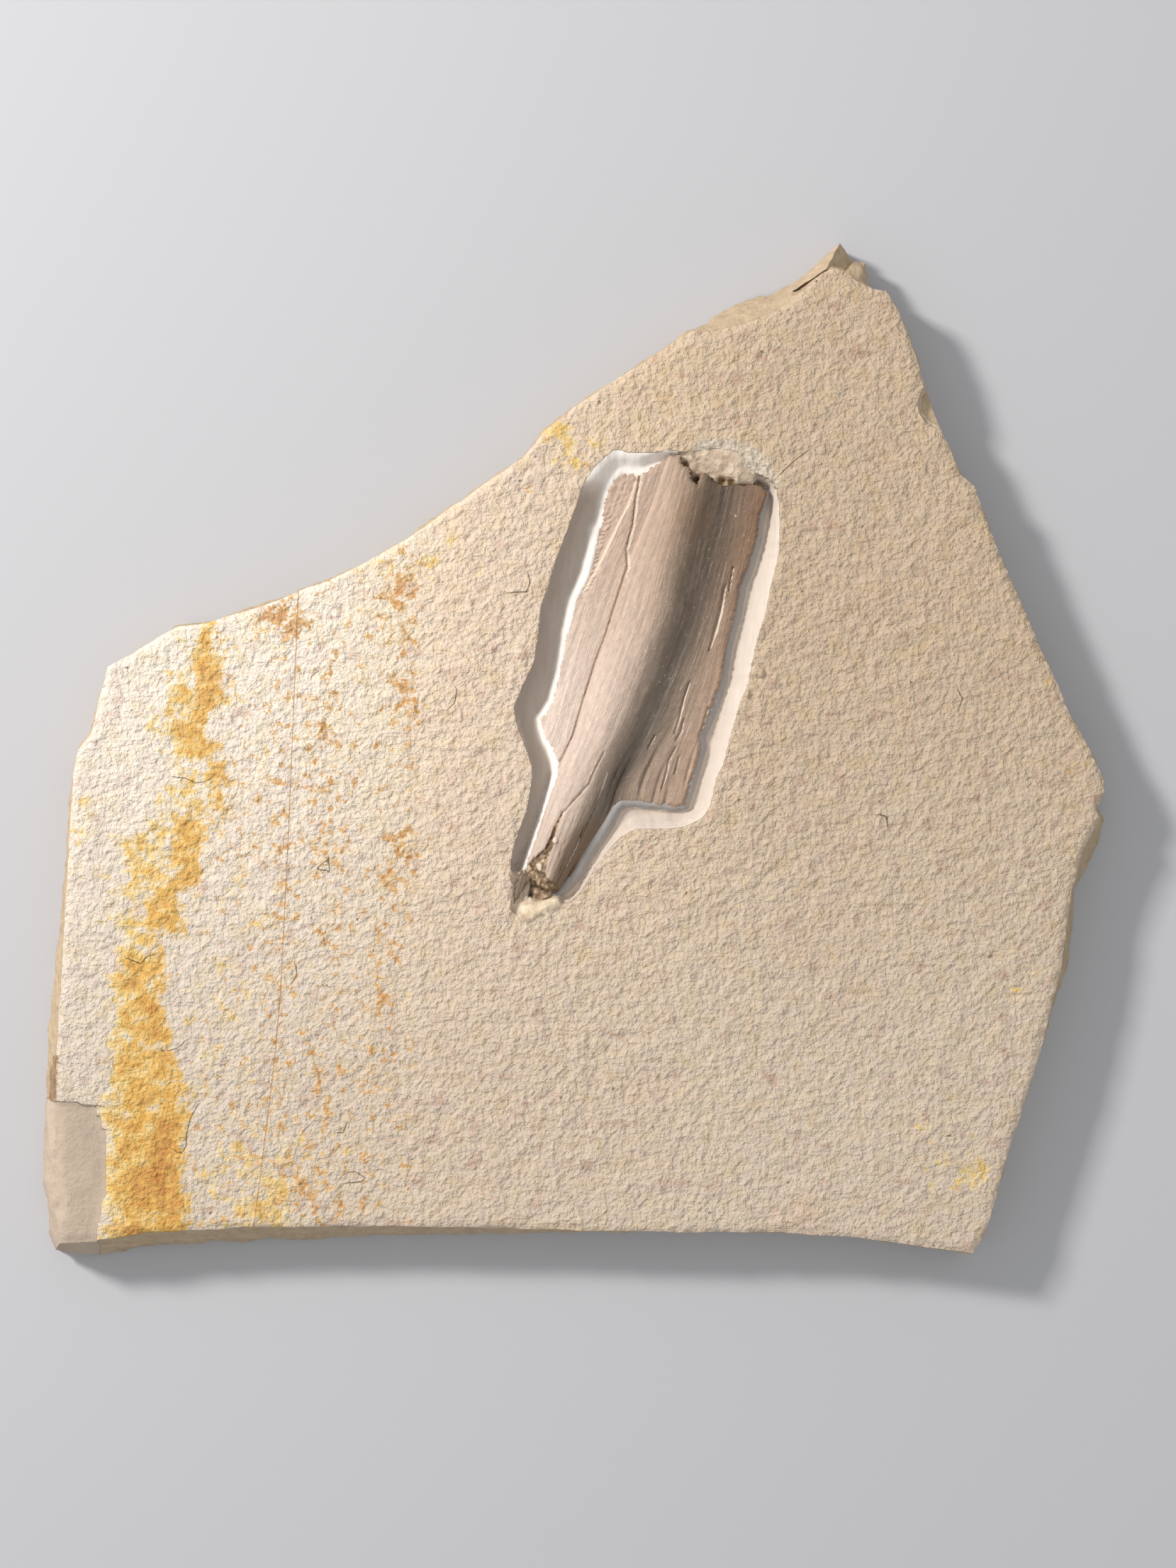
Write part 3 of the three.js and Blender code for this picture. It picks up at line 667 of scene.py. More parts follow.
# The vein, and the hairline cracks: x, y, and the line's width.
VEIN = (
    (-77.8, 44, 0.5), (-79.2, 9.4, 0.3), (-80.4, -20.6, 0.32), (-81.8, -48.6, 0.34),
    (-82.8, -68.6, 0.42), (-84.2, -84.6, 0.4), (-86, -100.6, 0.34), (-88, -116.6, 0.36),
    (-90.8, -138, 0.5),
)
HAIRLINES = (
    ((-112.8, -7.8, 0.24), (-109.6, -8.2, 0.3), (-107, -9.4, 0.3), (-104, -9.2, 0.3), (-102, -8, 0.2)),
    ((-126, -59, 0.3), (-122, -60.8, 0.34), (-120.8, -58.6, 0.3), (-119, -58, 0.2)),
    ((-114.3, -85, 0.3), (-111.7, -84.3, 0.3), (-109.2, -81.8, 0.24)),
    ((-106, -100.2, 0.2), (-108.2, -104, 0.3), (-109.2, -107.9, 0.34), (-109.5, -112.4, 0.34),
     (-111.1, -114.2, 0.3), (-112.7, -113.3, 0.24)),
    ((-69.2, -30.4, 0.3), (-69, -34.5, 0.3), (-72.7, -33.7, 0.3), (-69.6, -31, 0.2)),
    ((-78.4, -61.2, 0.3), (-78.3, -64.3, 0.34), (-79.6, -65.8, 0.3)),
    ((-33.1, 16.4, 0.3), (-33.7, 13, 0.36), (-35.2, 11.7, 0.3)),
    ((-17.6, 44.2, 0.3), (-13.4, 44.4, 0.4), (-12.4, 47, 0.5), (-12.8, 49, 0.3)),
    ((57.6, 77, 0.36), (60.6, 80, 0.3), (63.4, 82.4, 0.26), (66.2, 84.2, 0.2), (66.6, 86.4, 0.1)),
    ((86.6, -18.6, 0.5), (88.2, -19, 0.5), (88.4, -21, 0.4)),
    ((108.4, 16.4, 0.3), (109.6, 14.4, 0.4), (108.8, 12, 0.3)),
    ((-66.5, -121.6, 0.2), (-65.2, -120, 0.2), (-62, -119, 0.2), (-59.4, -120.6, 0.2),
     (-58.2, -121.6, 0.3), (-60.8, -122.2, 0.34), (-64.6, -122.4, 0.3)),
    ((-64.2, -105.7, 0.3), (-65.2, -108.2, 0.36), (-66.2, -108.2, 0.3)),
    ((-140.8, -100.2, 0.2), (-137, -100.4, 0.3), (-133.8, -100.6, 0.24)),
)

along_wash = measured_from(WASH_LINE, closed=False)
along_haze = measured_from(HAZE_LINE, closed=False)
along_rust = measured_from(*RUST_LINES, closed=False)
along_vein = measured_from(VEIN, closed=False)
along_hairline = measured_from(*HAIRLINES, closed=False)


def patches(rows, x, y):
    """The strength of a group of soft round patches at a spot."""
    return sum(
        strength * math.exp(-((x - right) ** 2 + (y - up) ** 2) / radius ** 2)
        for right, up, radius, strength in rows
    )


def crust_left(x, y, z):
    """1 on the natural face, 0 where it has been broken, spalled or scraped away."""
    kept = eased(z, 15.9, 16.7) * (1 - eased(inside_pit(x, y)[0], -0.5, 0.3))
    kept *= 1 - eased(inside_spall(x, y)[0], -0.3, 0.4)
    return kept * (1 - rubbly(x, y, z))


def scraped(x, y, z):
    """1 in the pit, where the tool has left the stone smooth and pale."""
    inside = eased(inside_pit(x, y)[0], -0.5, 0.3) * (1 - eased(inside_top_break(x, y)[0], -0.6, 0.2))
    return inside * (1 - eased(inside_foot_break(x, y)[0], -0.8, 0.4))


def washed(x, y, z):
    """The strength of the yellow wash, which grows down the slab."""
    aside, _, half = along_wash(x, y)
    band = (1 - eased(abs(aside) - half, -7, 6)) * (0.68 + 0.34 * eased(-y, -20, 110))
    band = max(band, 0.4 * math.exp(-(aside / (1.8 * half + 3)) ** 2))
    aside, _, half = along_haze(x, y)
    haze = 0.42 * math.exp(-(aside / half) ** 2) * eased(-y, -10, 50)
    return max(band, haze) + patches(WASH_PATCHES, x, y)


def richest(x, y, z):
    """How orange the wash is: most so towards its right side."""
    aside, _, half = along_wash(x, y)
    return eased(aside / max(1, half), -0.9, 0.8) * (1 - eased(aside - half, 1, 6))


def rusted(x, y, z):
    """The density of the rust specks: most along three lines, a few between them."""
    aside, _, half = along_rust(x, y)
    between = 0.24 * eased(x, -116, -104) * (1 - eased(x, -46, -40))
    along = 0.14 * math.exp(-(aside / (1.5 * half)) ** 2)
    return between + along + 0.55 * patches(RUST_PATCHES, x, y)


def rubbly(x, y, z):
    """1 on the fresh rubble at the bone's top and at its foot."""
    top = eased(inside_top_break(x, y)[0], -0.8, 0.6)
    foot = eased(inside_foot_break(x, y)[0], -0.8, 1.2)
    return max(top, foot)


def shaded_bank(x, y, z):
    """1 on the bank of stone against the bone's right side, painted grey as shade: it faces away
    from the lamp.
    """
    into_bone, _, bank = inside_bone(x, y)
    near = 1 - eased(-into_bone, 0.55 * bank, 0.9 * bank)
    depth, _, wall = inside_pit(x, y)
    return on_right(x, y) * near * eased(depth, 0.6 * wall, wall) * scraped(x, y, z)


def paleness_and_painted_light(x, y, z):
    """How pale the scraped stone is painted, mostly as painted light and shade: the left wall is dark
    as in shade and a little paler towards its foot; a painted highlight lies on the bank against the
    bone's left side and above the bone's end; the right wall, which faces the lamp, is painted pale."""
    depth, _, wall = inside_pit(x, y)
    into_bone, _, bank = inside_bone(x, y)
    down = eased(depth, 0.1 * wall, 1.1 * wall)
    painted_lit_strip = (1 - eased(-into_bone, 0.4 * bank, bank)) * (1 - eased(-y, 34, 35.4))
    left = 0.14 + 0.3 * down + 0.56 * painted_lit_strip
    right = 0.72 - 0.25 * down
    side = left + (right - left) * on_right(x, y)
    return side + (0.95 - side) * eased(y, 70, 78) * (1 - on_right(x, y))


def mark(mesh, name, worth):
    """Keeps a number for each vertex: one for all, or worked out from its place on the face."""
    layer = mesh.attributes.new(name, "FLOAT", "POINT")
    back = face_to_frame.inverted()
    if not callable(worth):
        layer.data.foreach_set("value", [worth] * len(mesh.vertices))
    else:
        layer.data.foreach_set("value", [worth(*(back @ vert.co)) for vert in mesh.vertices])


def offset_of(line):
    """The signed distance from a line, for mark."""
    return lambda x, y, z: max(-2, min(2, line(x, y)[0]))


def width_of(line):
    """The line's own width beside it, and nothing past its ends, for mark."""
    def width(x, y, z):
        aside, _, wide = line(x, y)
        return wide * (1 - eased(abs(aside), 1.2, 1.8))
    return width


slab_marks = {
    "crust": crust_left,
    "scraped": scraped,
    "wash": washed,
    "richness": richest,
    "rust": rusted,
    "bloom": lambda x, y, z: patches(BLOOM_PATCHES, x, y),
    "white": lambda x, y, z: patches(WHITE_PATCHES, x, y),
    "rubble": rubbly,
    "bank": shaded_bank,
    # painted light and shade on the scraped stone: white where lit, taupe where shaded
    "pale": paleness_and_painted_light,
    "crumbly": lambda x, y, z: eased(inside_top_crumble(x, y)[0], -2.6, 2),
    "spalled": lambda x, y, z: eased(inside_spall(x, y)[0], -0.3, 0.4) * eased(z, 2, 6),
    "creamy": lambda x, y, z: patches(CREAM_PATCHES, x, y),
    "browned": lambda x, y, z: patches(BROWN_STAIN_AND_SHADE_PATCHES, x, y),
    "vein_offset": offset_of(along_vein),
    "vein_width": width_of(along_vein),
    "hairline_offset": offset_of(along_hairline),
    "hairline_width": width_of(along_hairline),
}
for name, worth in slab_marks.items():
    mark(slab.data, name, worth)


def start_stone(name, marks):
    """A material that reads marks: itself, its tree and shader, a place in millimetres, and the
    marks by name."""
    material, tree, shader = start_material(name)
    place = add_node(tree, "TexCoord").outputs["Object"]
    millimetres = add_node(tree, "VectorMath", {"operation": "SCALE", "Scale": 1000}, {0: place})
    marked = {
        each: add_node(tree, "Attribute", {"attribute_name": each}).outputs["Fac"] for each in marks
    }
    return material, tree, shader, millimetres, marked


def finish_stone(shader, colour, relief, roughness, sheen):
    """Gives a shader its colour, its relief in millimetres, its roughness and its sheen."""
    tree = shader.id_data
    bump = add_node(tree, "Bump", {"Strength": 1, "Distance": MM}, {"Height": relief})
    tree.links.new(colour, shader.inputs["Base Color"])
    tree.links.new(bump.outputs[0], shader.inputs["Normal"])
    shader.inputs["Roughness"].default_value = roughness
    shader.inputs["Specular IOR Level"].default_value = sheen


def ragged_from(source, texture, weight):
    """A source made uneven by a texture, by up to about half the weight either way."""
    tree = texture.id_data
    uneven = add_node(
        tree, "Math", {"operation": "MULTIPLY_ADD", 1: weight, 2: -weight / 2}, {0: texture}
    )
    return add_node(tree, "Math", {"operation": "ADD"}, {0: uneven, 1: source})


def mask_from(source, texture, weight, start, whole, strength=1):
    """0 to the strength, as a source that a texture makes uneven goes from start to whole."""
    return add_node(
        texture.id_data, "MapRange",
        {"interpolation_type": "SMOOTHSTEP", "From Min": start, "From Max": whole, "To Max": strength},
        {"Value": ragged_from(source, texture, weight)},
    ).outputs["Result"]


def shades_across(source, rows, part):
    """A colour along a source, from rows of its value and two shades, which a part mixes."""
    tree = part.id_data
    first, last = rows[0][0], rows[-1][0]
    place = add_node(tree, "MapRange", {"From Min": first, "From Max": last}, {"Value": source})
    ramps = [
        add_node(
            tree, "ValToRGB", {"stops": [((row[0] - first) / (last - first), row[shade]) for row in rows]},
            {"Fac": place},
        )
        for shade in (1, 2)
    ]
    return add_node(tree, "Mix", {"data_type": "RGBA"}, {0: part, 6: ramps[0], 7: ramps[1]}).outputs[2]


# Lithographic limestone: so fine in the grain that no crystals show. Its natural face is a matt
# dimpled crust, pale to the left and tan to the right: partly its own colour, partly a painted
# pool of light towards the upper left; where it was scraped it is smooth, pale and a little pink,
# with painted light and shade on the pit's walls, and where it has broken it is duller.
limestone, tree, shader, millimetres, marked = start_stone("lithographic_limestone", slab_marks)
# Each texture's grain in millimetres, its detail and its roughness.
stone_noise = {}
for name, grain, detail, rough in (
    ("dimple", 2, 3, 0.6), ("patch", 17, 4, 0.6), ("tint", 6, 3, 0.6), ("island", 5, 7, 0.7),
    ("speck", 2.7, 6, 0.7), ("blotch", 3, 3, 0.6), ("break", 3, 4, 0.58), ("pinhole", 2.2, 1, 0.5),
    ("crumb", 1.3, 3, 0.6),
):
    stone_noise[name] = add_node(
        tree, "TexNoise", {"Scale": 1 / grain, "Detail": detail, "Roughness": rough},
        {"Vector": millimetres},
    ).outputs["Fac"]
long_strokes = add_node(
    tree, "Mapping", {"Scale": (0.55, 0.12, 0.5), "Rotation": (0, 0, 0.3)}, {"Vector": millimetres}
)
strokes = add_node(tree, "TexNoise", {"Scale": 1, "Detail": 3}, {"Vector": long_strokes})
place_parts = add_node(tree, "SeparateXYZ", (), {"Vector": millimetres})

# What each mask starts from, the texture that breaks it up and by how much, and where it begins
# and is whole.
stone_mask = {}
for name, source, texture, weight, low, high in (
    ("crust", marked["crust"], "dimple", 0.6, 0.42, 0.58),
    ("scraped", marked["scraped"], "dimple", 0.4, 0.44, 0.56),
    ("rubble", marked["rubble"], "tint", 1.6, 0.36, 0.66),
    ("creamy", marked["creamy"], "tint", 1.2, 0.4, 0.8),
    ("browned", marked["browned"], "dimple", 1.2, 0.3, 0.7),
    ("crumbly", marked["crumbly"], "speck", 2.4, 0.4, 0.8),
    ("spalled", marked["spalled"], "dimple", 0.3, 0.4, 0.6),
    # the bank right of the bone: painted shade
    ("bank", marked["bank"], "dimple", 0.1, 0.2, 0.8),
    # high on the slab the crust takes the shades high on it, partly painted light
    ("high", place_parts.outputs["Y"], "patch", 50, -115, 45),
    ("wash", marked["wash"], "island", 3.2, 0.42, 0.86),
    ("rust", marked["rust"], "speck", 3, 0.5, 0.6),
    ("bloom", marked["bloom"], "patch", 1.2, 0.1, 1.2),
    ("white", marked["white"], "tint", 1.6, 0.4, 1),
):
    stone_mask[name] = mask_from(source, stone_noise[texture], weight, low, high)
for name in ("vein", "hairline"):
    aside = add_node(tree, "Math", {"operation": "ABSOLUTE"}, {0: marked[name + "_offset"]})
    spare = add_node(
        tree, "Math", {"operation": "MULTIPLY_ADD", 1: -2}, {0: aside, 2: marked[name + "_width"]}
    )
    stone_mask[name] = add_node(
        tree, "MapRange", {"From Min": 0, "From Max": 0.16}, {"Value": spare}
    ).outputs["Result"]
stone_mask["pinhole"] = add_node(
    tree, "MapRange", {"From Min": 0.78, "From Max": 0.82}, {"Value": stone_noise["pinhole"]}
).outputs["Result"]

# How the crust's colour changes from its left edge to its right: x in mm, the shade low on the
# slab and the shade high on it. It is partly the crust's own colour and partly a painted pool of
# light, paler towards the upper left and high on the slab, as if the lamp stood near that corner.
CRUST_COLOUR_AND_LIGHT = (
    (-150, "#d8cdc1", "#f3e9df"), (-75, "#d8cbbd", "#f3e9de"), (-52, "#d7c8b8", "#efe2d1"),
    (-34, "#d6c6b6", "#e9d6c3"), (-16, "#d6c6b6", "#e1d0bf"), (20, "#d6c7b7", "#d9c5ae"),
    (58, "#d6c7b7", "#cbb8a3"), (150, "#d6c7b7", "#cbb8a3"),
)
crust_colour_and_light = shades_across(
    ragged_from(place_parts.outputs["X"], stone_noise["patch"], 30), CRUST_COLOUR_AND_LIGHT, stone_mask["high"]
)

# The wash and the rust deepen towards the middle of each patch.
stain_shade = {}
for name, texture, weight, deepest, stops in (
    ("wash", "island", 3.4, 2.1, ((0, "#efe0bb"), (0.25, "#e9cb83"), (0.5, "#deae50"), (0.95, "#be7a2a"))),
    ("rust", "speck", 3, 1.3, ((0, "#e2c69b"), (0.35, "#d3a266"), (0.7, "#bb7f45"), (1, "#8c5230"))),
):
    depth = ragged_from(ragged_from(marked[name], stone_noise[texture], weight), stone_noise["blotch"], 0.8)
    if name == "wash":
        depth = add_node(
            tree, "Math", {"operation": "MULTIPLY_ADD", 1: 0.35}, {0: marked["richness"], 2: depth}
        )
    depth = add_node(tree, "MapRange", {"From Min": 0.5, "From Max": deepest}, {"Value": depth})
    stain_shade[name] = add_node(tree, "ValToRGB", {"stops": stops}, {"Fac": depth})
for name, strength in (("wash", 0.88), ("rust", 0.85)):
    thinned = add_node(tree, "Math", {"operation": "MULTIPLY", 1: strength}, {0: stone_mask[name]})
    crust_colour_and_light = add_node(
        tree, "Mix", {"data_type": "RGBA"}, {0: thinned, 6: crust_colour_and_light, 7: stain_shade[name]}
    ).outputs[2]
# The crust is tinted in patches of a few millimetres: pinkish, yellowish or greyer.
tinted = add_node(
    tree, "ValToRGB",
    {"stops": ((0.3, "#e6d4ca"), (0.45, "#ffffff"), (0.55, "#fffdf4"), (0.72, "#f3ead2"))},
    {"Fac": stone_noise["tint"]},
)
crust_colour_and_light = add_node(
    tree, "Mix", {"data_type": "RGBA", "blend_type": "MULTIPLY", 0: 0.7}, {6: crust_colour_and_light, 7: tinted}
).outputs[2]
for mask, colour, strength in (
    (stone_mask["bloom"], "#cf9f8b", 0.3), (stone_mask["white"], "#efe9e2", 0.5),
    (stone_mask["vein"], "#b88a5a", 0.65), (stone_mask["hairline"], "#5d4f40", 0.75),
    (stone_mask["pinhole"], "#6d5c48", 0.6),
):
    thinned = add_node(tree, "Math", {"operation": "MULTIPLY", 1: strength}, {0: mask})
    crust_colour_and_light = add_node(
        tree, "Mix", {"data_type": "RGBA", 7: linear(colour)}, {0: thinned, 6: crust_colour_and_light}
    ).outputs[2]
# The crust is a little darker in its hollows, where the dimple noise that raises it is low.
darker_in_hollows = add_node(
    tree, "MapRange",
    {"From Min": 0.34, "From Max": 0.64, "To Min": 0.96, "To Max": 1.04}, {"Value": stone_noise["dimple"]},
)
crust_colour_and_light = add_node(tree, "HueSaturation", (), {"Value": darker_in_hollows, "Color": crust_colour_and_light})

# Two shades for each kind of stone but the scraped, which goes from taupe to white: from painted
# shade on the pit's left wall to painted light on the bank left of the bone and on the right wall.
shades = {}
for name, parting, first, second in (
    ("broken", stone_noise["break"], "#9d8b74", "#d8c3a5"),
    # bank: painted shade, grey, on the bank that faces away from the lamp
    ("bank", strokes, "#979697", "#b1adab"),
    ("rubble", stone_noise["break"], "#876a50", "#fff0da"),
    ("creamy", stone_noise["break"], "#b69c7a", "#fff6e2"),
    # browned: brown stain, and painted shade in the pockets over the bone
    ("browned", stone_noise["break"], "#5f4836", "#c5a784"),
    ("crumbly", stone_noise["crumb"], "#978976", "#fbf0df"),
    ("spalled", stone_noise["patch"], "#a39486", "#d0c0ae"),
):
    shades[name] = add_node(
        tree, "Mix", {"data_type": "RGBA", 6: linear(first), 7: linear(second)}, {0: parting}
    ).outputs[2]
# painted shade (taupe) to painted light (white) on the scraped stone, as the pale mark says
shades["scraped"] = add_node(
    tree, "ValToRGB",
    {"stops": ((0.1, "#aea197"), (0.4, "#c6baaf"), (0.75, "#dfd4ca"), (1, "#fdf9f5"))},
    {"Fac": ragged_from(marked["pale"], strokes, 0.25)},
)
stone_colour = shades["broken"]
for mask, coat in (
    (stone_mask["scraped"], shades["scraped"]), (stone_mask["bank"], shades["bank"]),
    (stone_mask["crust"], crust_colour_and_light), (stone_mask["crumbly"], shades["crumbly"]),
    (stone_mask["rubble"], shades["rubble"]), (stone_mask["creamy"], shades["creamy"]),
    (stone_mask["browned"], shades["browned"]), (stone_mask["spalled"], shades["spalled"]),
):
    stone_colour = add_node(
        tree, "Mix", {"data_type": "RGBA"}, {0: mask, 6: stone_colour, 7: coat}
    ).outputs[2]

# Fine relief, in millimetres: what the crust and the scraped, broken and spalled stone add.
crust_relief = add_node(tree, "Math", {"operation": "MULTIPLY", 1: 1.6}, {0: stone_noise["dimple"]})
for name, depth in (("hairline", -0.3), ("vein", -0.1), ("pinhole", -0.35)):
    crust_relief = add_node(
        tree, "Math", {"operation": "MULTIPLY_ADD", 1: depth}, {0: stone_mask[name], 2: crust_relief}
    )
scraped_relief = add_node(tree, "Math", {"operation": "MULTIPLY", 1: 0.25}, {0: strokes})
stone_relief = add_node(
    tree, "Math", {"operation": "MULTIPLY", 1: 1.1}, {0: stone_noise["break"]}
).outputs[0]
spalled_relief = add_node(tree, "Math", {"operation": "MULTIPLY", 1: 0.5}, {0: stone_noise["dimple"]})
for mask, relief in (
    (stone_mask["scraped"], scraped_relief), (stone_mask["crust"], crust_relief),
    (stone_mask["spalled"], spalled_relief),
):
    stone_relief = add_node(
        tree, "Mix", {"data_type": "FLOAT"}, {0: mask, 2: stone_relief, 3: relief}
    ).outputs[0]
finish_stone(shader, stone_colour, stone_relief, roughness=0.92, sheen=0.25)

slab.data.materials.append(limestone)
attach(slab, "root")
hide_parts("limestone_slab")

# ---------------------------------------------------------------------------------------------
# The costal plate.
# The largest piece of the shell: a thin plate with a stout rib along it, fossil bone as hard as
# the stone. It lies in the pit, broken off square at its top and where the rib runs out at its
# foot. A fine sheet leans along the rib, and is kept inside the plate's ragged margin.

BONE_BASE = 11.3
BONE_SHARP = 50
BONE_COLUMN = 0.33  # the steps of the bone's sheets
BONE_ROW = 0.46
BONE_LEAN = 0.33
BONE_UPRIGHT = 20  # the row where columns keep their own x, mm
# Lines along the bone, from the top down: x, y and height.
FOOT_LINE = (
    (26.2, 80, 17), (22.8, 70, 16.2), (18.8, 60.8, 15.4), (15.4, 52.6, 15), (11, 39.8, 14.8),
    (6, 25.2, 14.7), (2.4, 13.8, 14.7), (-2, 0, 14.8), (-4.6, -5, 14.9), (-14.8, -35, 14.9),
    (-17, -42, 14.8),
)
CREST_LINE = (
    (33, 80, 18.3), (31.6, 73, 18.6), (29, 62, 18.8), (23.4, 38, 18.8), (12.4, 9, 18.6),
    (4, -9.6, 18.2), (-1.8, -23.4, 17.8), (-7, -36.6, 17.4), (-8.6, -42, 17.2),
)
VALLEY_LINE = (
    (45, 80, 14.8), (41.6, 63.8, 14.1), (35, 36.4, 13.6), (23.6, 8.8, 13.4), (12.8, -9.6, 13.1),
    (11.4, -17.6, 12.8), (6.6, -24.8, 12.8), (0.8, -34.8, 12.8), (-3.6, -41.6, 12.8),
)
MARGIN_LINE = (
    (54.4, 77, 15.4), (52, 62, 14.6), (43, 29, 14.2), (35.6, 2, 14), (31, -16, 13.8),
)
# Where those four lines stand on the fibres' own scale, mm across.
FIBRE_PLACES = (4.6, 17, 28.5, 40.5)

CRACK_LINE = (
    (18.5, 77.4), (17.4, 71.6), (16.4, 63.8), (14.6, 56.6), (14.9, 51.4),
    (13.4, 47), (11, 39.8), (9, 33.2), (6, 25.2), (2.4, 13.8), (-0.4, 4.2),
    (-4.2, -3.6),
)
# Cracks, whose right sides are painted pale as a highlight, and the rough channel where the rib
# has lost its crest: x, y, and half the width.
PLATE_CRACKS = (
    ((45, 51.2, 0.2), (44, 45.4, 0.2)),
    ((42.8, 46.2, 0.3), (41.6, 39.4, 0.6), (40, 33.4, 0.6), (38.4, 28.4, 0.2)),
    ((32.6, 18.8, 0.2), (31.2, 14.4, 0.35), (30, 9.4, 0.35), (28.6, 4.8, 0.2)),
    ((31, 8.2, 0.2), (30.4, 5.2, 0.3), (29.2, 3, 0.2)),
    ((37.8, 11.4, 0.2), (36.6, 7.2, 0.3), (35.6, 4.8, 0.2)),
    ((28.6, 0.2, 0.2), (26.8, -3.4, 0.25), (25.8, -8, 0.25), (24.8, -11, 0.15)),
    ((29.6, -2.4, 0.2), (28.6, -6.6, 0.2)),
    ((22.8, 3.6, 0.25), (21.2, 0.6, 0.2)),
    ((8.4, -1, 0.15), (6, -5.4, 0.2), (4, -10, 0.2), (-0.2, -14.6, 0.2), (-3.4, -18.6, 0.25)),
    ((9.2, -6.8, 0.3), (8, -10.4, 0.4), (6, -15.2, 0.25), (3.2, -21, 0.2), (0.4, -28, 0.2),
     (-2, -32.8, 0.15)),
)
CHANNEL = (
    (-3.4, -18, 0.1), (-5, -21.4, 0.3), (-5.9, -23.8, 0.5), (-6.4, -26.3, 0.9), (-7.8, -29, 1),
    (-9.4, -31.6, 1.9), (-11, -34.2, 2.9), (-10.6, -37.4, 2.8), (-9, -40, 4), (-9, -43, 4.4),
)
# Lumps of white calcite in the channel: x, y, half the width and half the length.
CALCITE_LUMPS = ((-9.8, -33.2, 0.9, 1.35), (-5.5, -25.7, 0.8, 1.1))
# The deep slot where the rib's end has split: x, y, and half the width.
SLOT = ((-11, -38.6, 0.2), (-9.4, -39.3, 0.4), (-7, -40.2, 0.45), (-4.4, -41.2, 0.3))


@functools.lru_cache(maxsize=None)
def level(line, y):
    """A line's x and its height where it passes y, with its corners rounded off."""
    total = Vector((0, 0))
    for near in (y - 3, y, y + 3):
        for upper, lower in zip(line, line[1:]):
            if near >= lower[1] or lower is line[-1]:
                part = (near - lower[1]) / (upper[1] - lower[1])
                total += Vector((lower[0], lower[2])).lerp(Vector((upper[0], upper[2])), part)
                break
    return total / 3


def fibre_place(x, y):
    """How far across the bone a spot is, in millimetres, along fibres that narrow with the rib."""
    lines = [level(line, y).x for line in (FOOT_LINE, CREST_LINE, VALLEY_LINE, MARGIN_LINE)]
    if x < lines[0]:
        return FIBRE_PLACES[0] + x - lines[0]
    for index in (0, 1, 2):
        if x < lines[index + 1]:
            part = (x - lines[index]) / (lines[index + 1] - lines[index])
            return FIBRE_PLACES[index] + part * (FIBRE_PLACES[index + 1] - FIBRE_PLACES[index])
    return FIBRE_PLACES[3] + x - lines[3]


def torn_line(rows, step, torn, pitch, closed=True):
    """A line traced in short steps and torn sideways into teeth of about that pitch."""
    points = traced(rows, step, closed=closed)
    for point, ahead in zip(points, headings(points, closed)):
        spot = Vector((point.x, point.y, 0)) / pitch
        tear = torn * (noise.noise(spot) + 0.7 * noise.noise(spot * 2.5))
        point.x -= ahead.y * tear
        point.y += ahead.x * tear
    return points


def crack_side(side):
    """One side of the crack between the plate and the left flange, from the top down."""
    points = torn_line(CRACK_LINE, step=0.4, torn=0.26, pitch=2.2, closed=False)
    shifted = []
    for point, ahead in zip(points, headings(points, closed=False)):
        wide = 0.01 + 0.03 * eased(point.y, 54, 62)
        shifted.append(Vector((point.x - side * ahead.y * wide, point.y + side * ahead.x * wide, 0)))
    return shifted


def outline_block(points, name):
    """A solid with upright sides, through points that run anticlockwise."""
    low, high = 5, 30  # well past the bone, below and above
    bm = bmesh.new()
    bmesh.ops.create_circle(bm, cap_ends=True, segments=len(points), radius=1)
    bm.verts.ensure_lookup_table()
    for vert, point in zip(bm.verts, points):
        vert.co = (point.x, point.y, low)
    top = bmesh.ops.extrude_face_region(bm, geom=bm.faces[:])["geom"]
    bmesh.ops.translate(
        bm, verts=[made for made in top if isinstance(made, bmesh.types.BMVert)], vec=(0, 0, high - low)
    )
    bmesh.ops.recalc_face_normals(bm, faces=bm.faces)
    return object_from(bm, name)


plate_outline = torn_line(PLATE_EDGE, step=0.3, torn=0.6, pitch=1.2, closed=False) + crack_side(1)
inside_plate = measured_from(plate_outline)
along_plate_cracks = measured_from(*PLATE_CRACKS, closed=False)
along_channel = measured_from(CHANNEL, closed=False)
along_slot = measured_from(SLOT, closed=False)
from_crack = measured_from(CRACK_LINE, closed=False)


def fibres(x, y):
    """The bone's long fibres, fine and coarse, and the unevenness of the whole."""
    across = fibre_place(x, y)
    fine = 0.13 * noise.noise((across / 0.8, y / 13, 1))
    coarse = 0.16 * noise.noise((across / 2.3, y / 34, 5))
    lumps = 0.16 * noise.noise((x / 6, y / 11, 9)) + 0.07 * noise.noise(Vector((x, y, 3)) / 1.6)
    return fine + coarse + lumps


def calcite_lump(x, y):
    """1 in the middle of a lump of calcite in the channel, 0 outside them."""
    return max(
        1 - eased(math.hypot((x - right) / wide, (y - up) / tall), 0.5, 1.1)
        for right, up, wide, tall in CALCITE_LUMPS
    )


def rim_drop(inside, depth, width):
    """How much lower the surface is towards its rim, where the edge has worn round."""
    return depth * (1 - eased(abs(inside), 0, width)) ** 2


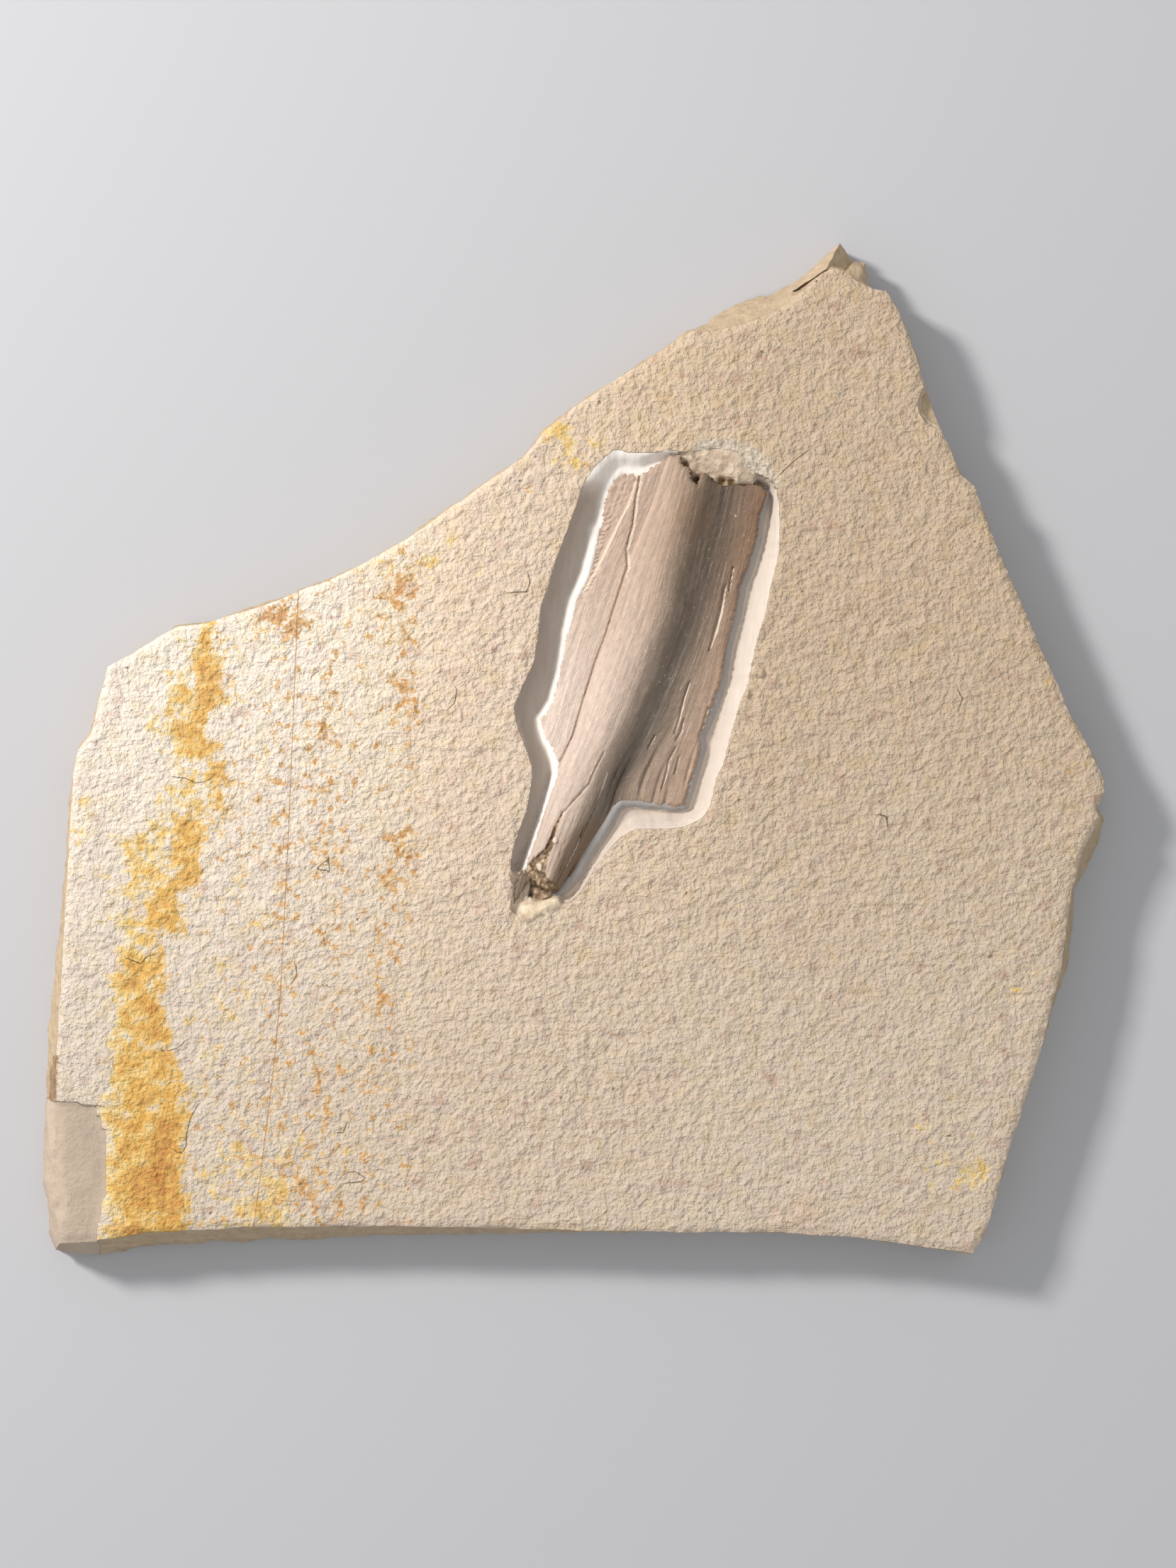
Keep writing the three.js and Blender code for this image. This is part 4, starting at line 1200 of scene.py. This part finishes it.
def plate_height(x, y):
    """The plate's surface: up from the rib's foot to its crest, down to the valley, and out over
    the right flange. Left of the foot, a low strip runs out to the crack."""
    foot, crest, valley, margin = (
        level(line, y) for line in (FOOT_LINE, CREST_LINE, VALLEY_LINE, MARGIN_LINE)
    )
    if x < crest.x:
        up = min(1, max(0, (x - foot.x) / (crest.x - foot.x)))
        height = foot.y + (crest.y - foot.y) * math.sin(up * math.pi / 2)
    elif x < valley.x:
        down = (x - crest.x) / (valley.x - crest.x)
        height = valley.y + (crest.y - valley.y) * (1 + math.cos(down * math.pi)) / 2
    else:
        along = min(1.3, (x - valley.x) / (margin.x - valley.x))
        height = valley.y + (margin.y - valley.y) * along
    height -= 0.4 * (1 - eased(x - foot.x, -0.5, 0.1)) * eased(y, 44, 52)
    height += fibres(x, y)
    # the rib's lower end is split along its fibres
    split = noise.noise((fibre_place(x, y) / 1.5, y / 26, 12))
    height -= 0.7 * eased(split, 0.18, 0.4) * eased(-y, -6, 12) * eased(x - crest.x, -1, 2)
    aside, _, half = along_plate_cracks(x, y)
    height -= 0.8 * max(0, 1 - abs(aside) / (half + 0.25))
    aside, _, half = along_channel(x, y)
    rough = eased(half + 0.6 * noise.noise((x / 1.3, y / 1.3, 2)) - abs(aside), -0.3, 0.4)
    height += rough * (-0.8 - 0.9 * eased(-y, 38.4, 40.4) + hackly(x, y, 1.5, 0.6))
    height += 0.7 * calcite_lump(x, y)
    aside, _, half = along_slot(x, y)
    height -= 1.6 * max(0, 1 - abs(aside) / (half + 0.4))
    lip = 1 - 0.5 * (1 - eased(abs(from_crack(x, y)[0]), 0.8, 1.4))
    return height - lip * rim_drop(inside_plate(x, y)[0], 0.5, 0.8)


def bone_sheet(left, right, bottom, top, height):
    """A fine sheet over a piece of bone, between columns and rows in millimetres."""
    columns = stations(left, (right, BONE_COLUMN))
    return raised_sheet(columns, stations(bottom, (top, BONE_ROW)), height, BONE_LEAN, BONE_UPRIGHT)


def bone_piece(sheet, outline, name, marks):
    """Keeps a sheet inside an outline, as a piece of bone with the marks that its material reads."""
    close_down(sheet, BONE_BASE)
    piece = object_from(sheet, name)
    carve(piece, [("INTERSECT", outline_block(outline, name + "_outline"))])
    shade_stone(piece.data, BONE_SHARP)
    for mark_name, worth in marks.items():
        mark(piece.data, mark_name, worth)
    return piece


# What the bone's material reads off it: the fibres' own scale, where calcite shows white and where
# a highlight is painted pale, where the inside of the bone is bare and brown, and how near the
# margin is.
def calcite_and_highlight_on_plate(x, y, z):
    """Calcite in the lumps in the channel; elsewhere a painted highlight: pale on the right side of
    each crack, which faces the lamp, and on the plate's lit lip along the long crack.
    """
    aside, _, half = along_plate_cracks(x, y)
    lining = 1 - eased(abs(aside - 0.5 * half), 0.3 * half, 0.8 * half + 0.1)
    lip = 1 - eased(abs(from_crack(x, y)[0] - 0.7), 0.2, 0.7)
    return max(lining, (0.3 + 0.5 * eased(y, 40, 56)) * lip, calcite_lump(x, y))


def bare_on_plate(x, y, z):
    """1 where the rib is broken open."""
    aside, _, half = along_channel(x, y)
    return eased(half - abs(aside), -0.6, 0.4) * (1 - calcite_lump(x, y))


def cracked(x, y, z):
    """1 in the brown line of the long crack."""
    return 1 - eased(abs(from_crack(x, y)[0]), 0.12, 0.42)


def browned_end(x, y, z):
    """How brown the rib's lower end is: most so down its right side."""
    return eased(-y, 6, 30) * (0.45 + 0.55 * eased(x - level(CREST_LINE, y).x, -1, 1.6))


plate_marks = {
    "across": lambda x, y, z: fibre_place(x, y),
    "along": lambda x, y, z: y,
    "calcite": calcite_and_highlight_on_plate,
    "bare": bare_on_plate,
    "margin": lambda x, y, z: 1 - eased(inside_plate(x, y)[0], 0, 3),
    "cracked": cracked,
    "browned": browned_end,
}
plate_sheet = bone_sheet(left=-6, right=46, bottom=-46, top=86, height=plate_height)
plate = bone_piece(plate_sheet, plate_outline, "plate_bone", plate_marks)

# Fossil bone: phosphate that has soaked up iron and manganese, pinkish where it faces left, a
# dark greyish streak down the rib's right flank and browner beyond it. The fibres give it a
# long fine grain of pale and dark streaks, and a slight sheen.
fossil_bone, tree, shader, millimetres, marked = start_stone("fossil_bone", plate_marks)
along_fibres = add_node(tree, "CombineXYZ", (), {"X": marked["across"], "Y": marked["along"]})
# Each texture's grain across and along the fibres, and its detail.
bone_noise = {}
for name, across, along, detail in (
    ("fibre", 0.4, 9, 3), ("strand", 1.5, 30, 3), ("cloud", 9, 34, 3), ("mottle", 1.3, 2.6, 4),
    ("pale_streak", 0.6, 16, 3),
):
    stretched = add_node(tree, "Mapping", {"Scale": (1 / across, 1 / along, 1)}, {"Vector": along_fibres})
    bone_noise[name] = add_node(
        tree, "TexNoise", {"Scale": 1, "Detail": detail, "Roughness": 0.62}, {"Vector": stretched}
    ).outputs["Fac"]
for name, grain, detail in (("grit", 0.7, 3), ("lump", 1.9, 5)):
    bone_noise[name] = add_node(
        tree, "TexNoise", {"Scale": 1 / grain, "Detail": detail, "Roughness": 0.62},
        {"Vector": millimetres},
    ).outputs["Fac"]

# The bone's colour across its fibres, in millimetres: at its top, and at its lower end.
BONE_SHADES = (
    (-9, "#cbb3a2", "#ead9cd"), (4, "#c4ad9c", "#dccabe"), (9, "#b8a18f", "#d6c4b8"),
    (14, "#b39b89", "#ccb9ac"), (19, "#9c8775", "#bba99b"), (23, "#7d6e60", "#8f8174"),
    (27, "#65584d", "#746a60"), (30, "#685a4e", "#7a6d61"), (33, "#7f6a5a", "#978576"),
    (38, "#896f5b", "#ae9786"), (42, "#8b6f58", "#b19783"), (46, "#8c6c50", "#ab9079"),
)
wandering = ragged_from(marked["across"], bone_noise["cloud"], 7)
wandering = ragged_from(wandering, bone_noise["strand"], 3)
lower_part = mask_from(marked["along"], bone_noise["cloud"], 16, 66, 2)
bone_colour = shades_across(wandering, BONE_SHADES, lower_part)

# Streaks along the fibres lighten and darken it, and so do small mottles.
streaks = add_node(
    tree, "Math", {"operation": "MULTIPLY_ADD", 1: 0.6}, {0: bone_noise["fibre"], 2: bone_noise["strand"]}
)
streaks = add_node(
    tree, "Math", {"operation": "MULTIPLY_ADD", 1: 0.8}, {0: bone_noise["mottle"], 2: streaks}
)
tone = add_node(
    tree, "MapRange", {"From Min": 0.85, "From Max": 1.55, "To Min": 0.72, "To Max": 1.26},
    {"Value": streaks},
)
bone_colour = add_node(tree, "HueSaturation", (), {"Value": tone, "Color": bone_colour})

# What each mask starts from, the texture that breaks it up and by how much, where it begins and
# is whole, and the colour it lays on the bone.
bare_bone = add_node(
    tree, "ValToRGB",
    {"stops": ((0.36, "#5a4838"), (0.47, "#8b745c"), (0.57, "#b59c80"), (0.69, "#e9dcc8"))},
    {"Fac": bone_noise["lump"]},
).outputs["Color"]
for source, texture, weight, low, high, colour, strength in (
    (bone_noise["pale_streak"], "grit", 0.25, 0.6, 0.74, "#e4d2c2", 0.35),
    (bone_noise["grit"], "mottle", 0.3, 0.68, 0.74, "#efe3d6", 0.6),
    (marked["margin"], "mottle", 1.2, 0.7, 1.1, "#8a6a4e", 0.28),
    (marked["browned"], "strand", 1.6, 0.3, 1, "#846d58", 0.7),
    (marked["cracked"], "grit", 0.4, 0.3, 0.8, "#8a6d55", 0.7),
    (marked["bare"], "grit", 0.9, 0.35, 0.7, bare_bone, 1),
    # pale calcite, and painted highlights on the lit sides of cracks, the crack's lip and the step
    (marked["calcite"], "grit", 0.7, 0.4, 0.7, "#e6d8ca", 0.85),
):
    mask = mask_from(source, bone_noise[texture], weight, low, high, strength)
    coat = add_node(tree, "Mix", {"data_type": "RGBA"}, {0: mask, 6: bone_colour})
    if isinstance(colour, str):
        coat.inputs[7].default_value = linear(colour)
    else:
        tree.links.new(colour, coat.inputs[7])
    bone_colour = coat.outputs[2]
bone_relief = add_node(tree, "Math", {"operation": "MULTIPLY", 1: 0.2}, {0: bone_noise["fibre"]})
for name, depth in (("grit", 0.16), ("mottle", 0.3), ("pale_streak", 0.15)):
    bone_relief = add_node(
        tree, "Math", {"operation": "MULTIPLY_ADD", 1: depth}, {0: bone_noise[name], 2: bone_relief}
    )
finish_stone(shader, bone_colour, bone_relief, roughness=0.66, sheen=0.35)

plate.data.materials.append(fossil_bone)
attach(plate, "root")
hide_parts("costal_plate")

# ---------------------------------------------------------------------------------------------
# The left flange.
# The thin wing of the shell on the rib's other side, of the same bone, parted from the plate by
# the long crack. It slopes to a margin finely ridged where the next plate once locked on.

FLANGE_WIDTH = 14
FLANGE_DROP = 1.4  # it slopes down this much to its margin
FLANGE_STEP = 0.7  # and lies this much below the plate at the crack
# Where the flange steps down towards its ridged margin.
STEP_LINE = (
    (17.4, 75.4), (15.2, 69), (13.2, 65.4), (11.4, 61.4), (9.8, 58.2),
    (7.6, 53.6), (6, 50.4), (2.6, 44.6),
)
flange_outline = torn_line(FLANGE_EDGE, step=0.25, torn=0.6, pitch=1, closed=False) + crack_side(-1)[::-1]
inside_flange = measured_from(flange_outline)
along_step = measured_from(STEP_LINE, closed=False)
from_margin = measured_from(FLANGE_EDGE, closed=False)


def flange_height(x, y):
    """The flange: its slope, the ridges and wrinkles by its margin, and the step above them."""
    foot = level(FOOT_LINE, y)
    away = min(1, max(0, (foot.x - x) / FLANGE_WIDTH))
    step = FLANGE_STEP * (0.35 + 0.65 * eased(y, 20, 56))
    drop = FLANGE_DROP * away * (1 - 0.5 * eased(y, 62, 78))
    height = foot.y - step - drop + 0.8 * fibres(x, y)
    aside = along_step(x, y)[0]
    outside = eased(-aside, -0.3, 0.5) * eased(y, 43, 52)
    height -= 0.55 * outside
    deep = from_margin(x, y)[0]
    ridged = eased(y, 38, 48) * (1 - eased(y, 64, 70)) * (1 - eased(deep, 2.2, 3.6))
    spot = Vector((x, y, 0))
    ridges = math.sin(5.4 * (0.94 * y - 0.34 * x) + 5 * noise.noise(spot / 2.5))
    height += 0.26 * ridged * ridges
    wrinkled = eased(y, 60, 66) * outside
    height += 0.4 * wrinkled * noise.noise(spot / 0.9)
    return height - rim_drop(inside_flange(x, y)[0], 0.22, 0.5)


flange_sheet = bone_sheet(left=-16, right=6, bottom=-6, top=82, height=flange_height)
flange = bone_piece(flange_sheet, flange_outline, "flange_bone", plate_marks | {
    # the flange's step is painted pale along its edge: a painted highlight
    "calcite": lambda x, y, z: 0.75 * (1 - eased(abs(along_step(x, y)[0] - 0.1), 0.1, 0.7)),
    "bare": 0,
    "margin": lambda x, y, z: 0.5 * (1 - eased(from_margin(x, y)[0], 0, 5)),
    "browned": 0,
})
flange.data.materials.append(fossil_bone)
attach(flange, "root")
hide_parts("left_flange")

# ---------------------------------------------------------------------------------------------
# The rib splinter.
# A sliver of the rib that broke away at its lower end, and stands on edge in the stone there.

SPLINTER_EDGE = (
    (-14.9, -35), (-15.4, -36.6), (-16.5, -38.4), (-17.6, -42.2), (-18.2, -44.9),
    (-17.1, -44.1), (-15.6, -41.6), (-14.2, -39), (-13, -37.4), (-12.4, -36.2),
    (-13.2, -35.6),
)
splinter_outline = torn_line(SPLINTER_EDGE, step=0.4, torn=0.3, pitch=1.5)
inside_splinter = measured_from(splinter_outline)


def splinter_height(x, y):
    """The splinter's top: a slope that faces left, grooved along its length."""
    grooves = 0.22 * noise.noise(((x - 0.3 * y) / 0.6, y / 8, 3))
    return 17.5 + 0.04 * (y + 40) + 0.1 * (x + 16) + grooves - rim_drop(inside_splinter(x, y)[0], 0.4, 0.5)


splinter_sheet = raised_sheet(
    stations(-20, (-12, 0.25)), stations(-47, (-34, 0.3)), splinter_height
)
splinter = bone_piece(splinter_sheet, splinter_outline, "splinter_bone", plate_marks | {
    "across": lambda x, y, z: 30 + x - 0.3 * y,
    "calcite": 0,
    "bare": 0.2,
    "margin": 0.5,
    "cracked": 0,
    "browned": 0.9,
})
splinter.data.materials.append(fossil_bone)
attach(splinter, "root")
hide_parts("rib_splinter")
